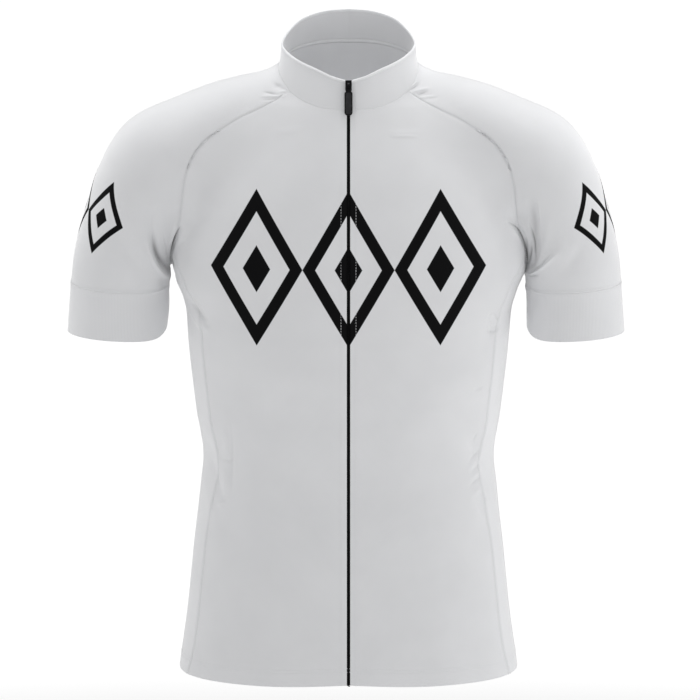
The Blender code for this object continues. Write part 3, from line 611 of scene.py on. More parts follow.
def fine_steps(cells, finer_end):
    """Where a seam's fine points lie, counted in its cells, with more beside its ends."""
    even = np.arange(cells * FINE + 1) / FINE
    near = np.concatenate([np.arange(0.5, FINE) / FINE, EDGE_SHARES / 2 / FINE])
    far = cells - near if finer_end else []
    return np.sort(np.concatenate([even, near, far]))


def refined(line, finer_end=True):
    """A seam's smooth curve through its points, in finer steps."""
    cells = len(line) - 1
    at = fine_steps(cells, finer_end)
    cell = np.minimum(at.astype(int), cells - 1)
    t = (at - cell)[:, None]
    slopes = np.gradient(line, axis=0)
    fine = hermite(t, line[cell], line[cell + 1], slopes[cell], slopes[cell + 1])
    return pinned(settled(fine, 3), line[0], line[-1])


print("fine steps in a seam of ten cells:", len(fine_steps(10, True)) - 1)

# %% [markdown]
# The jersey's cut is the same on both sides, so the seams are drawn for the wearer's left
# alone, and mirrored. The back's neck seam and hem stop halfway, and are not crowded there.

# %% Draw the seams
HALVES = ("neck_back", "hem_back")


def seam_lines():
    """Every seam of the wearer's left side, each as the points that its panels share."""
    front = raglan_seam(RAGLAN_FRONT, FRONT, RAGLAN_FRONT_TURN)
    back = raglan_seam(RAGLAN_BACK, BACK, RAGLAN_BACK_TURN)
    side_front = side_seam(front[-1], FRONT)
    side_back = side_seam(back[-1], BACK)
    neck_start = centre_front(np.array([NECK[0].z]))[0]
    turns = [turn_of(neck_start), RAGLAN_FRONT_TURN, RAGLAN_BACK_TURN, 180]
    neck = [neck_points(np.linspace(a, b, NECK_SAMPLES)) for a, b in zip(turns, turns[1:])]
    neck_front = pinned(neck[0], neck_start, front[0])
    neck_side = pinned(neck[1], front[0], back[0])
    neck_back = pinned(neck[2], back[0], neck[2][-1])
    hem_start = centre_front(np.array([HEM[0].z]))[0]
    hem_middle = hem_points(np.array([180.0]))[0]
    coarse = {
        "raglan_front": front,
        "raglan_back": back,
        "underarm": underarm_seam(front[-1], back[-1]),
        "side_front": side_front,
        "side_back": side_back,
        "neck_front": settled(with_facing(neck_front)),
        "neck_side": settled(resampled(neck_side, CELLS_SHOULDER)),
        "neck_back": settled(resampled(neck_back, COLUMNS_BACK // 2)),
        "hem_front": with_facing(hem_line(hem_start, side_front[-1], 3 * COLUMNS_FRONT)),
        "hem_side": hem_line(side_front[-1], side_back[-1], CELLS_UNDERARM),
        "hem_back": hem_line(side_back[-1], hem_middle, COLUMNS_BACK // 2),
    }
    return {name: refined(line, name not in HALVES) for name, line in coarse.items()}


seams = seam_lines()
for name, line in seams.items():
    print(f"{name}: {lengths_along(line)[-1]:.0f} mm in {len(line) - 1} steps")

# %% [markdown]
# ## The panels
#
# Each panel is a grid of points between its four seams. The grid could be cut out of one big
# surface, but then the threads of the cloth would run anyhow. Blending the four edges into
# rows and columns lets the knit run along the panel, as it was cut, and leaves the shared
# points of each seam where they are.

# %% A grid between four seams
SETTLE_ROUNDS = 6


def share_along(line):
    along = lengths_along(line)
    return along / along[-1]


def patch(top, bottom, first, last):
    """A grid between four edges, settled onto the body surface inside them."""
    down = (share_along(first) + share_along(last))[:, None, None] / 2
    across = (share_along(top) + share_along(bottom))[None, :, None] / 2
    rows = (1 - down) * top[None] + down * bottom[None]
    columns = (1 - across) * first[:, None] + across * last[:, None]
    corners = (1 - down) * ((1 - across) * top[0] + across * top[-1])
    corners = corners + down * ((1 - across) * bottom[0] + across * bottom[-1])
    grid = rows + columns - corners
    grid[1:-1, 1:-1] = settled(grid[1:-1, 1:-1], SETTLE_ROUNDS)
    return grid


print("an even edge in four parts:", share_along(np.arange(15.0).reshape(5, 3)))

# %% [markdown]
# A sleeve is closed round, so it has no first and last edge. Its places are named by how far
# along the arm they lie and how far round it.

# %% Rings round the sleeve
CUFF_NOTCH_TURN = 0.45
RING_SAMPLES = 120


def sleeve_surface(along, turn):
    """The sleeve's own section, at a length along the arm and a turn from its outer side."""
    centre, _, outward = sleeve_frame(along)
    out, forward = np.cos(turn), np.sin(turn)
    across, deep = sleeve_reach(along, out, forward)
    power = SLEEVE_SQUARENESS
    size = ((np.abs(out) / across) ** power + (np.abs(forward) / deep) ** power) ** (-1 / power)
    flat = centre + (out * size)[..., None] * outward
    return np.stack([flat[..., 0], -forward * size - SLEEVE_FORWARD, flat[..., 1]], axis=-1)


def sleeve_ring(turn, middle_z, notch=0):
    """A ring round the sleeve at this height, its outer side a little higher.

    Under the arm a cuff's edge rises in a small round notch.
    """
    along = np.full_like(turn, np.interp(-middle_z, -SLEEVE_LINE[:, 1], SLEEVE_ALONG))
    from_inside = math.pi - np.abs(turn)
    wanted = middle_z + CUFF_TILT * np.cos(turn)
    wanted += notch * np.exp(-((from_inside / CUFF_NOTCH_TURN) ** 2))
    for _ in range(TRIAL_ROUNDS):
        along += sleeve_surface(along, turn)[:, 2] - wanted
    return along


def ring_length(middle_z):
    """Once round the sleeve at this height."""
    turns = np.linspace(0, 2 * math.pi, RING_SAMPLES)
    return lengths_along(sleeve_surface(sleeve_ring(turns, middle_z), turns))[-1]


print("once round the cuff seam, mm:", round(float(ring_length(CUFF_TOP_Z))))

# %% [markdown]
# The sleeve's grid starts from the armhole and runs down its own sections to the cuff. Near
# the neck its cells would be long and thin, so there each point is moved step by step to the
# middle of its neighbours.

# %% The sleeve and its cuff band
ROWS_SLEEVE = 13
SLEEVE_CROWDING = 1.3
RELAX_ROUNDS = 4
RELAX_ABOVE_Z = -150
RELAX_FULLY_Z = -80
ROWS_CUFF = 3
CUFF_NOTCH = 9


def relaxed(grid):
    """A grid closed round, settled, its cells evened out where they start near the neck."""
    grid[1:] = settled(grid[1:], SETTLE_ROUNDS)
    span = RELAX_FULLY_Z - RELAX_ABOVE_Z
    ease = np.clip((grid[0, :, 2] - RELAX_ABOVE_Z) / span, 0, 1)[None, :, None] / 2
    for _ in range(RELAX_ROUNDS * FINE**2):
        beside = np.roll(grid, 1, axis=1) + np.roll(grid, -1, axis=1)
        middle = (beside[1:-1] + grid[:-2] + grid[2:]) / 4
        grid[1:-1] += ease * (middle - grid[1:-1])
    grid[1:] = settled(grid[1:], SETTLE_ROUNDS)
    return grid


def with_edge_rows(grid):
    """A grid with finer rows beside its first and last ones, for the roll of a seam."""
    shares = EDGE_SHARES[:, None, None]
    first = grid[0] + shares * (grid[1] - grid[0])
    last = grid[-1] + shares[::-1] * (grid[-2] - grid[-1])
    return np.concatenate([grid[:1], first, grid[1:-1], last, grid[-1:]])


def armhole_loop():
    """The sleeve's upper edge, once round from under the arm by the front and the neck."""
    half = len(seams["underarm"]) // 2
    return np.vstack(
        [
            seams["underarm"][half::-1],
            seams["raglan_front"][-2::-1],
            seams["neck_side"][1:],
            seams["raglan_back"][1:],
            seams["underarm"][-2:half:-1],
        ]
    )


def sleeve_grids():
    """The sleeve from its armhole to the cuff seam, and the cuff band, each closed round."""
    loop = armhole_loop()
    along, out, forward = sleeve_place(loop)
    turn = np.unwrap(np.arctan2(forward, out))
    turn += 2 * math.pi * round((math.pi - turn[0]) / (2 * math.pi))
    shares = lengths_along(np.vstack([loop, loop[:1]]))
    even = math.pi * (1 - 2 * shares[:-1] / shares[-1])
    cuff_top = sleeve_ring(even, CUFF_TOP_Z)
    down = np.linspace(0, 1, ROWS_SLEEVE * FINE + 1)[:, None] ** SLEEVE_CROWDING
    grid = sleeve_surface(along + (cuff_top - along) * down, turn + (even - turn) * down)
    grid += (1 - down[..., None]) ** 2 * (loop - sleeve_surface(along, turn))
    grid[0] = loop
    grid = relaxed(grid)
    cuff_edge = sleeve_ring(even, CUFF_EDGE_Z, CUFF_NOTCH)
    down = np.linspace(0, 1, ROWS_CUFF * FINE + 1)[:, None]
    cuff = settled(sleeve_surface(cuff_top + (cuff_edge - cuff_top) * down, even + 0 * down))
    cuff[0] = grid[-1]
    return with_edge_rows(grid), with_edge_rows(cuff)


sleeve_grid, cuff_grid = sleeve_grids()
print("sleeve:", sleeve_grid.shape[:2], "cuff:", cuff_grid.shape[:2])

# %% [markdown]
# The fronts, the back and the side panels are plain patches. The front's edge along the zip
# has a point level with each one of its outer edge, so that its rows run straight across.
# The collar runs straight up from the neck seam to the rim.

# %% The other panels and the collar
ROWS_COLLAR = 3
COLLAR_BLEND = 16


def front_edge():
    """The front's edge along the zip, its points level with those of its outer edge."""
    outer = np.concatenate([seams["raglan_front"][:, 2], seams["side_front"][1:, 2]])
    top, bottom = seams["neck_front"][0], seams["hem_front"][0]
    share = (outer - outer[0]) / (outer[-1] - outer[0])
    return pinned(centre_front(top[2] + share * (bottom[2] - top[2])), top, bottom)


def collar_grid():
    """The collar from the neck seam to the rim, its ends upright along the zip."""
    seam = np.vstack([seams["neck_front"], seams["neck_side"][1:], seams["neck_back"][1:]])
    turns = np.array([turn_of(point) for point in seam])
    turns[-1] = 180
    rim = np.stack([read(RIM, "turn", name, turns) for name in "xyz"], axis=1)
    away = np.clip((seam[:, 0] - seam[0, 0] - FACING_WIDTH) / COLLAR_BLEND, 0, 1)
    rim[:, 0] += (1 - away) ** 2 * (1 + 2 * away) * (seam[:, 0] - rim[:, 0])
    up = np.linspace(0, 1, ROWS_COLLAR * FINE + 1)[:, None, None]
    half = (1 - up) * seam + up * rim
    grid = np.concatenate([half, mirrored(half[:, -2::-1])], axis=1)
    return with_edge_rows(grid)


front_grid = patch(
    seams["neck_front"],
    seams["hem_front"],
    front_edge(),
    np.vstack([seams["raglan_front"], seams["side_front"][1:]]),
)
back_edge = np.vstack([seams["raglan_back"], seams["side_back"][1:]])
back_grid = patch(
    np.vstack([seams["neck_back"], mirrored(seams["neck_back"][-2::-1])]),
    np.vstack([seams["hem_back"], mirrored(seams["hem_back"][-2::-1])]),
    back_edge,
    mirrored(back_edge),
)
side_grid = patch(
    seams["underarm"], seams["hem_side"], seams["side_front"], seams["side_back"]
)
grids = {
    "front": front_grid,
    "back": back_grid,
    "side": side_grid,
    "sleeve": sleeve_grid,
    "cuff": cuff_grid,
    "collar": collar_grid(),
}
for name, grid in grids.items():
    print(f"{name}: {grid.shape[0]} rows of {grid.shape[1]} points")

# %% [markdown]
# ## Folds and creases
#
# Worn knit is never quite smooth. It gathers at the armpits, where the sleeve has spare
# cloth, pulls in short rays from the neck seam, and dimples at the waist. A cloth simulation
# would make such folds anywhere it liked. Here each one is listed as a soft trough or ridge
# along a curved line, no two alike, with others like them on the back.

# %% Folds


def on_face(kind, face, *rows):
    """A table of folds or creases that all lie on one face of the jersey."""
    return [kind(face, *row) for row in rows]


Fold = namedtuple("Fold", "face x0 z0 x1 z1 width height")
FOLDS = on_face(
    Fold,
    FRONT,
    (-163, -142, -174, -192, 7, 2.4),
    (-199, -138, -196, -182, 9, -2.2),
    (-210, -170, -188, -208, 8, 2.6),
    (188, -140, 188, -196, 6, -1.6),
    (214, -172, 186, -202, 9, 2.5),
    (157, -136, 171, -196, 7, 2.6),
    (-166, -232, -142, -262, 11, -1.4),
    (164, -236, 144, -258, 9, -1.2),
    (-128, -360, -146, -420, 12, -2.5),
    (122, -356, 142, -410, 12, -2.5),
) + on_face(
    Fold,
    BACK,
    (172, -140, 180, -186, 9, -1.8),
    (-172, -142, -181, -188, 9, -1.6),
    (60, -350, 140, -392, 16, -4.9),
    (-48, -362, -138, -400, 16, -4.9),
    (30, -398, 128, -428, 14, 4.2),
    (-34, -384, -126, -420, 14, 3.5),
)
FOLD_FADE = 25
FOLD_ENDS = 0.55
print("folds:", len(FOLDS))

# %% [markdown]
# A crease is finer than a fold. It bends through its middle place, swells there and dies away
# at both ends. Its lean, where it has one, makes one flank steep and the other soft.

# %% Creases
Crease = namedtuple("Crease", "face x0 z0 x1 z1 x2 z2 width height lean", defaults=[0])
CREASES = on_face(
    Crease,
    FRONT,
    (150, -138, 172, -156, 172, -196, 8.5, 6.2),
    (-162, -148, -171, -166, -174, -194, 5.5, 2.6),
    (-166, -146, -176, -165, -180, -184, 3.4, -0.6, 0.35),
    (-197, -130, -196, -163, -184, -200, 4, -1.4, 0.3),
    (-205, -164, -195, -188, -180, -206, 4.5, 1.8, -0.3),
    (-189, -152, -187, -172, -180, -190, 2.6, -0.3, 0.2),
    (-186, -186, -183, -198, -177, -208, 3, -1.6),
    (-164, -220, -153, -236, -140, -248, 5, -1.4, 0.5),
    (-165, -232, -150, -250, -139, -252, 4, 1.3),
    (158, -138, 176, -158, 183, -190, 3.4, -0.5, -0.35),
    (180, -124, 191, -150, 188, -190, 4, -1.5, 0.3),
    (184, -146, 188, -170, 182, -196, 2.4, -0.5),
    (194, -156, 193, -176, 184, -197, 2.6, -1.2, 0.2),
    (181, -200, 196, -192, 211, -174, 3.6, 1.6, 0.2),
    (200, -140, 199, -166, 188, -192, 4.5, 1.2),
    (142, -238, 147, -247, 143, -258, 3, -1.8, 0.3),
    (143, -257, 151, -256, 156, -250, 2.6, 1.4),
    (150, -234, 153, -244, 152, -254, 2.6, 1.2),
    (59, -14, 66, -9, 74, -4, 1.9, -0.9, 0.2),
    (65, -14, 73, -12, 81, -10, 2, 0.8),
    (68, -17, 76, -17, 83, -16, 1.9, -0.8, 0.2),
    (76, -20, 84, -20, 91, -18, 1.9, -0.6),
    (-61, -13, -69, -9, -77, -5, 2, -0.9, 0.2),
    (-62, -16, -69, -17, -76, -16, 1.9, 0.7),
    (40, -50, 54, -52, 70, -50, 3, 0.6),
    (-46, -46, -60, -50, -74, -50, 3.4, 0.4),
    (-146, -380, -138, -404, -124, -432, 4.5, -1.6, 0.3),
    (-150, -404, -143, -424, -136, -452, 4, 1.2, -0.2),
    (-152, -356, -146, -374, -136, -388, 3.6, -0.9),
    (124, -362, 134, -390, 146, -424, 4.5, -1.7, -0.3),
    (136, -396, 142, -420, 148, -446, 4, 1.2, 0.2),
    (128, -424, 136, -444, 146, -462, 3.6, -1),
    (-60, -566, -84, -580, -118, -584, 9, -0.9),
    (48, -578, 80, -588, 122, -580, 9, -0.8),
    (-100, -300, -112, -330, -116, -366, 11, -0.9),
    (96, -306, 110, -338, 112, -372, 11, -0.8),
    (-236, -150, -226, -172, -208, -196, 6, -1, 0.2),
    (240, -158, 230, -180, 210, -202, 6, -1, 0.2),
) + on_face(
    Crease,
    BACK,
    (118, -300, 84, -326, 30, -334, 8, -1.6, 0.3),
    (-126, -312, -88, -330, -26, -346, 7, -1.8, -0.2),
    (96, -318, 60, -342, 10, -352, 7, 1.3),
    (108, -120, 126, -160, 132, -214, 9, -1.5, 0.3),
    (-104, -126, -124, -158, -130, -220, 8, -1.7, -0.3),
    (62, -226, 92, -262, 134, -280, 9, -1.2, 0.2),
    (164, -138, 176, -160, 181, -190, 3.6, -0.9, -0.3),
    (190, -134, 192, -162, 185, -194, 5, -2, 0.3),
    (203, -166, 194, -188, 182, -204, 4.5, 1.5),
    (-165, -136, -175, -158, -181, -192, 3.8, -0.8, 0.3),
    (-192, -136, -191, -166, -184, -196, 4.6, -2.1, -0.3),
    (-206, -170, -195, -190, -182, -205, 4.5, 1.6),
    (26, 8, 34, -8, 48, -22, 5, -1.3),
    (-22, 10, -30, -6, -40, -24, 5.5, -1.1),
    (70, -342, 108, -362, 146, -372, 6, -3.5, 0.3),
    (44, -372, 92, -394, 140, -404, 5.1, -2.8, -0.2),
    (62, -386, 100, -410, 136, -420, 5.1, 2.6),
    (-58, -348, -104, -370, -144, -378, 6, -3.6, 0.3),
    (-36, -378, -84, -396, -136, -412, 5.1, -2.6, -0.2),
    (-52, -392, -96, -412, -132, -428, 5.1, 2.4),
    (240, -150, 226, -174, 206, -198, 6, -1.2, 0.2),
    (-238, -154, -226, -176, -208, -200, 6, -1.1, 0.2),
)
CREASE_STEPS = 20
CREASE_REACH = 3.5
CREASE_END = 0.06
CREASE_SWELL = 0.8
print("creases:", len(CREASES))

# %% [markdown]
# The sharpest creases are pleats, where the cloth nearly folds over itself. They would slip
# between the points of a panel's grid, so they wait until its mesh is cut finer beside them.

# %% Pleats
PLEATS = on_face(
    Crease,
    FRONT,
    (-169.8, -150.7, -177.6, -164.4, -180.3, -190.3, 0.9, -3),
    (-172.5, -149.5, -179.1, -163.4, -182.8, -181.5, 1.3, 0.6),
    (-202.5, -157, -202, -184, -181.8, -208, 1.8, 1.6),
    (-196.8, -156, -196, -182, -180, -203, 3, -2.6),
    (-189.4, -150, -187.4, -170, -183, -186, 2.4, 0.6),
    (-186.8, -154.7, -184.3, -173.5, -181.9, -188.9, 1.6, -0.6),
    (-189.7, -203, -187.9, -211.8, -185.1, -219.9, 5, -1.2),
    (-202.5, -218.5, -190.8, -219.3, -183.2, -217.3, 1.2, 0.8),
    (-159.9, -225.1, -151.7, -234.5, -142.4, -244.9, 3, -1.3),
    (-156, -221, -147.5, -230.5, -141, -243, 1.2, 0.5),
    (-161.3, -237.5, -157, -240.8, -149.8, -253.2, 1.3, 0.7),
    (-178.9, -187.2, -178, -191.1, -178.2, -195.1, 1.1, -1.8),
    (160.6, -143.6, 178.9, -153.8, 179.8, -193.6, 0.9, -2.5),
    (177.9, -166, 181, -177, 179.8, -199.6, 1.2, -1.5),
    (165.5, -140.7, 181, -151, 183.8, -179, 1.4, 0.8),
    (158, -147.2, 173.4, -157.4, 177.8, -183, 1.7, 0.4),
    (181.7, -146.5, 188, -165.7, 188.5, -190.2, 0.9, -1.4),
    (183.2, -169.1, 185.4, -180.1, 181, -193.1, 0.9, -1.9),
    (185.2, -163, 187.2, -178, 184.2, -192, 0.9, 0.8),
    (189.9, -124, 195.4, -152, 192.6, -190.5, 1.5, 1.2),
    (184.2, -122, 188.8, -150, 187, -190, 4.2, -1.6),
    (181.8, -203.5, 193.3, -194.9, 207.9, -176.3, 1.2, 1.5),
    (183.4, -199.8, 192.3, -190.8, 203, -176, 1.3, -1.7),
    (181.1, -203.6, 186.2, -202.9, 191.4, -200, 1.2, -1.2),
    (184, -216, 187, -219.2, 196, -219.6, 1.2, 0.8),
    (146.4, -233.1, 151.7, -241, 151.8, -250.6, 0.9, -1),
    (138.3, -251.2, 145.6, -256.2, 151.8, -251.8, 0.9, -1.1),
    (140.3, -238.1, 142.3, -233.2, 146.4, -233.1, 0.8, -0.5),
    (144.4, -239, 145.5, -243.5, 146.6, -248, 3.6, 1),
    (126.4, -311.5, 132.6, -311.6, 135.7, -309.1, 1.3, -0.8),
    (42.5, -53.4, 55.5, -53.2, 68.5, -54.2, 1.2, 0.5),
    (62.5, -9.5, 67, -6, 70.5, -3.5, 1.1, 0.8),
    (61.7, -11.5, 67, -8.6, 71, -7, 0.9, -0.9),
    (65, -12.8, 72, -11.5, 80, -10.5, 1.1, 0.9),
    (69, -15.8, 74, -14.5, 79, -13.5, 1, -1),
    (71, -18.5, 79, -18.6, 88, -18, 1.2, 0.8),
    (-63, -12.5, -66, -13, -70, -13.5, 1, 0.9),
    (-70, -15.8, -77, -15, -85, -14.2, 0.9, -1.1),
    (-72, -17.6, -79, -17.8, -87, -18, 1.1, 0.8),
    (-74, -20, -80, -21, -86, -21.5, 0.9, -0.6),
    (-68, -8, -73, -9, -77, -10, 2.2, -0.7),
    (133.2, -379.1, 128.1, -382, 121.4, -389, 1.5, -0.9),
    (133.3, -386, 129.2, -389, 122, -394.6, 3, 1),
    (133.3, -394.9, 129.2, -395.9, 124, -398.9, 1.6, -0.8),
    (133.4, -401.3, 129.2, -402.3, 123.6, -405.3, 2.6, 0.7),
    (133.4, -407.3, 129.2, -408.3, 123.6, -413.3, 1.7, -1),
    (133.4, -416.6, 130.3, -418.9, 125.2, -424.1, 3.4, 1.1),
    (129.9, -359.7, 127.9, -362.5, 125.4, -367.4, 1.4, -0.6),
    (136.6, -425.6, 139.7, -431.6, 142.9, -435.8, 1.8, 0.8),
    (-129, -386.8, -123, -387.6, -116.8, -385.2, 1.3, -0.7),
    (-125.5, -392, -124, -410, -126.5, -424, 3.6, 1),
    (-125, -352, -123.5, -368, -123.5, -382, 3.6, 0.8),
    (-118.4, -345, -116.4, -385, -119.1, -426, 2.4, -0.7),
    (-133.5, -433.9, -129.3, -431.9, -125.2, -429, 1.8, 0.8),
) + on_face(
    Crease,
    BACK,
    (168, -150, 176, -164, 180, -182, 1.2, -2.2),
    (171, -149, 179, -163, 182.6, -181, 1.4, 0.6),
    (201, -160, 197, -182, 182, -204, 2, 1),
    (197.5, -159, 193.5, -180, 181, -200, 2, -2.2),
    (-171, -146, -178, -160, -181, -184, 1.1, -2),
    (-197, -152, -196.5, -176, -183, -203, 2.2, 1),
    (-193, -153, -192, -175, -182, -199, 2, -2),
)
PLEAT_REACH = 1.7
PLEAT_MARGIN = 0.6
PLEAT_FAINT = 0.14
print("pleats:", len(PLEATS))

# %% [markdown]
# All three are read the same way: the nearer a point lies to the line, seen straight from the
# front, the more it is lifted. The share of the face it lies on fades round the body's side,
# so that what is placed on the front doesn't come through at the back.

# %% How high a fold or a crease stands


def facing_share(face, y):
    return np.clip(0.5 + face * y / FOLD_FADE, 0, 1)


def fold_height(points):
    """How far the largest folds lift or sink each point, by its place on front or back."""
    x, y, z = points[..., 0], points[..., 1], points[..., 2]
    height = np.zeros(x.shape)
    for fold in FOLDS:
        run = np.array([fold.x1 - fold.x0, fold.z1 - fold.z0])
        share = ((x - fold.x0) * run[0] + (z - fold.z0) * run[1]) / (run @ run)
        share = np.clip(share, 0, 1)
        gap = np.hypot(x - fold.x0 - share * run[0], z - fold.z0 - share * run[1])
        taper = FOLD_ENDS + (1 - FOLD_ENDS) * np.sin(math.pi * share)
        faded = taper * facing_share(fold.face, y) * np.exp(-((gap / fold.width) ** 2))
        height += fold.height * faded
    return height


def crease_height(points, creases, near_ones=None):
    """The same for the finer creases, each a bent line that swells in its middle.

    Points that lie on or beside a crease are ticked off in near_ones, where it is given.
    """
    flat = points[..., [0, 2]].reshape(-1, 2)
    y = points[..., 1].reshape(-1)
    height = np.zeros(len(flat))
    for crease in creases:
        ends = np.array(crease[1:7]).reshape(3, 2)
        t = np.linspace(0, 1, CREASE_STEPS + 1)[:, None]
        path = (1 - t) ** 2 * ends[0] + 2 * t * (1 - t) * ends[1] + t**2 * ends[2]
        reach = CREASE_REACH * crease.width
        low, high = path.min(axis=0) - reach, path.max(axis=0) + reach
        near = np.flatnonzero(((flat > low) & (flat < high)).all(axis=1))
        if not len(near):
            continue
        starts, runs = path[:-1], np.diff(path, axis=0)
        away = flat[near, None] - starts
        share = np.clip((away * runs).sum(-1) / (runs**2).sum(-1), 0, 1)
        gaps = away - share[..., None] * runs
        distance = np.hypot(gaps[..., 0], gaps[..., 1])
        piece = distance.argmin(axis=1)
        nearest = np.arange(len(near)), piece
        run, gap, distance = runs[piece], gaps[nearest], distance[nearest]
        side = np.sign(run[:, 0] * gap[:, 1] - run[:, 1] * gap[:, 0])
        width = crease.width * (1 + crease.lean * side)
        along = (piece + share[nearest]) / CREASE_STEPS
        swell = np.sin(math.pi * (CREASE_END + (1 - 2 * CREASE_END) * along)) ** CREASE_SWELL
        faded = swell * facing_share(crease.face, y[near])
        height[near] += crease.height * faded * np.exp(-((distance / width) ** 2))
        if near_ones is not None:
            close = distance < PLEAT_REACH * crease.width + PLEAT_MARGIN
            near_ones[near[close & (faded > PLEAT_FAINT)]] = True
    return height.reshape(points.shape[:-1])


print("deepest crease, mm:", min(crease.height for crease in CREASES + PLEATS))

# %% [markdown]
# ## From grid to cloth
#
# A seam in knit is a shallow groove with a soft swell either side, where the two edges turn
# in. So every point needs to know how far it is from the nearest sewn edge. A search tree
# over the edge's points answers that. The same number goes on the mesh as an attribute, so
# that the finish can paint shade along the seam by it, on top of the groove's own shading.

# %% The cloth layer
# A seam's groove has a depth and a width, and the swell beside it a place and a reach.
SeamForm = namedtuple("SeamForm", "depth width swell place reach hide")
# Hide is added to a seam's distance as the finish reads it, which weakens the shade painted along
# it.
FLAT_SEAM = SeamForm(0.5, 1.3, 0.12, 4, 2.6, 0)
CUFF_SEAM = SeamForm(0, 0.8, 0.5, 0.6, 1.5, 1.6)
EDGE_STEP = 0.4
NECK_REACH = 75
NECK_FADE = 14
NECK_SEAM_SHARE = 0.05
# Added to the distance near the neck, where the seam is pressed flat, so that less shade is
# painted along it.
NECK_SEAM_HIDE = 1.9

Cloth = namedtuple("Cloth", "points normals closed sewn seam_gap")


def edge_of(grid, edge):
    return {"top": grid[0], "bottom": grid[-1], "first": grid[:, 0], "last": grid[:, -1]}[edge]


def gap_to_edges(grid, edges):
    """How far each point of a grid lies from the nearest of these edges."""
    places = []
    for edge in edges:
        line = edge_of(grid, edge)
        places.append(resampled(line, int(lengths_along(line)[-1] / EDGE_STEP)))
    places = np.vstack(places)
    tree = KDTree(len(places))
    for index, place in enumerate(places):
        tree.insert(place, index)
    tree.balance()
    flat = grid.reshape(-1, 3)
    return np.array([tree.find(point)[2] for point in flat]).reshape(grid.shape[:-1])


def eased(share):
    share = np.clip(share, 0, 1)
    return share**2 * (3 - 2 * share)


def seam_share(points):
    """How deep a seam is at each point: the neck seam is pressed flatter than the rest."""
    away = (np.linalg.norm(points[..., :2], axis=-1) - NECK_REACH) / NECK_FADE
    return NECK_SEAM_SHARE + (1 - NECK_SEAM_SHARE) * eased(away)


def seam_height(gap, form=FLAT_SEAM):
    groove = -form.depth * np.exp(-((gap / form.width) ** 2))
    return groove + form.swell * np.exp(-(((gap - form.place) / form.reach) ** 2))


def cloth_of(grid, edges, closed=False, on_neck=None, cuff=None):
    """A panel's outer layer with its folds, creases and seams.

    Along the neck seam its direction leans halfway to the collar's, which meets it there.
    The edge named as the cuff's has a seam of its own form.
    """
    normals = unit(body_slope(grid))
    if on_neck is not None:
        aside = grid[0, on_neck] * LEVEL
        normals[0, on_neck] = unit(normals[0, on_neck] + unit(aside))
    height = fold_height(grid) + crease_height(grid, CREASES)
    gap = np.full(grid.shape[:2], float(FAR))
    if edges:
        gap = gap_to_edges(grid, edges)
        share = seam_share(grid)
        height = height + share * seam_height(gap)
        # The finish paints shade along the seams from this distance, weaker where the neck seam is
        # pressed flat.
        gap = gap + (1 - share) * NECK_SEAM_HIDE
    if cuff:
        cuff_gap = gap_to_edges(grid, [cuff])
        height = height + seam_height(cuff_gap, CUFF_SEAM)
        # The cuff seam's painted shade is weakened by its hide.
        gap = np.minimum(gap, cuff_gap + CUFF_SEAM.hide)
        edges = edges + [cuff]
    return Cloth(grid + height[..., None] * normals, normals, closed, edges, gap)


def laid_cloth(points, normals):
    """A piece that lies on a panel and has no seam of its own."""
    return Cloth(points, normals, False, [], np.full(points.shape[:2], FAR))


print("seam groove, mm:", float(round(seam_height(0.0), 2)))

# %% [markdown]
# Each panel is laid for the wearer's left and mirrored for the right. No worn jersey is quite
# even, so the sleeves sway a little to one side, and a few small moves set the armpits apart.

# %% The panels' layers


def swayed(grid, share):
    """A grid with each row moved aside by its share of the sleeve's sway."""
    return grid + np.array([SLEEVE_SWAY, 0, 0]) * share[:, None, None]


# The left armpit hangs a little lower, and the cloth beside both moves a little sideways.
Nudge = namedtuple("Nudge", "centre reach move")
NUDGES = [
    Nudge((177, 0, -190), (11, 45, 16), (0, 0, -4)),
    Nudge((181, 0, -228), (12, 60, 27), (1.3, 0, 0)),
    Nudge((169, 0, -206), (9, 60, 14), (-3, 0, 0)),
    Nudge((-183, 0, -240), (12, 60, 27), (2.8, 0, 0)),
]


def nudged(points):
    """Points with the small local moves that set one side off from the other."""
    for nudge in NUDGES:
        away = (points - np.array(nudge.centre)) / np.array(nudge.reach)
        share = np.exp(-(away**2).sum(axis=-1))
        points = points + share[..., None] * np.array(nudge.move, float)
    return points


SIDES = {"left": np.array, "right": mirrored}
WHOLE = slice(None)
first_on_neck = len(seams["underarm"]) // 2 + len(seams["raglan_front"]) - 1
ON_NECK = slice(first_on_neck, first_on_neck + len(seams["neck_side"]))
cloths = {"back_panel": cloth_of(grids["back"], ["top", "first", "last"], on_neck=WHOLE)}
for side, turned in SIDES.items():
    sway = np.linspace(0, 1, len(grids["sleeve"])) ** 2
    front = turned(grids["front"])
    cloths["front_panel_" + side] = cloth_of(front, ["top", "last"], on_neck=WHOLE)
    cloths["side_panel_" + side] = cloth_of(turned(grids["side"]), ["top", "first", "last"])
    cloths["raglan_sleeve_" + side] = cloth_of(
        swayed(turned(grids["sleeve"]), sway), ["top"], True, ON_NECK, cuff="bottom"
    )
    cloths["cuff_band_" + side] = cloth_of(
        swayed(turned(grids["cuff"]), np.ones(len(grids["cuff"]))), [], True, cuff="top"
    )
for name in cloths:
    cloths[name] = cloths[name]._replace(points=nudged(cloths[name].points))
for name, cloth in cloths.items():
    print(f"{name}: highest point {cloth.points[..., 2].max():.0f} mm")

# %% [markdown]
# The collar isn't on the body's form: it stands on the neck seam. Its outward directions
# come from the grid itself, and its foot rolls into the neck seam as the panels do.

# %% The collar's layer


def grid_normals(grid):
    """Directions square to a grid, from the lines that cross at each point."""
    return unit(np.cross(np.gradient(grid, axis=1), np.gradient(grid, axis=0)))


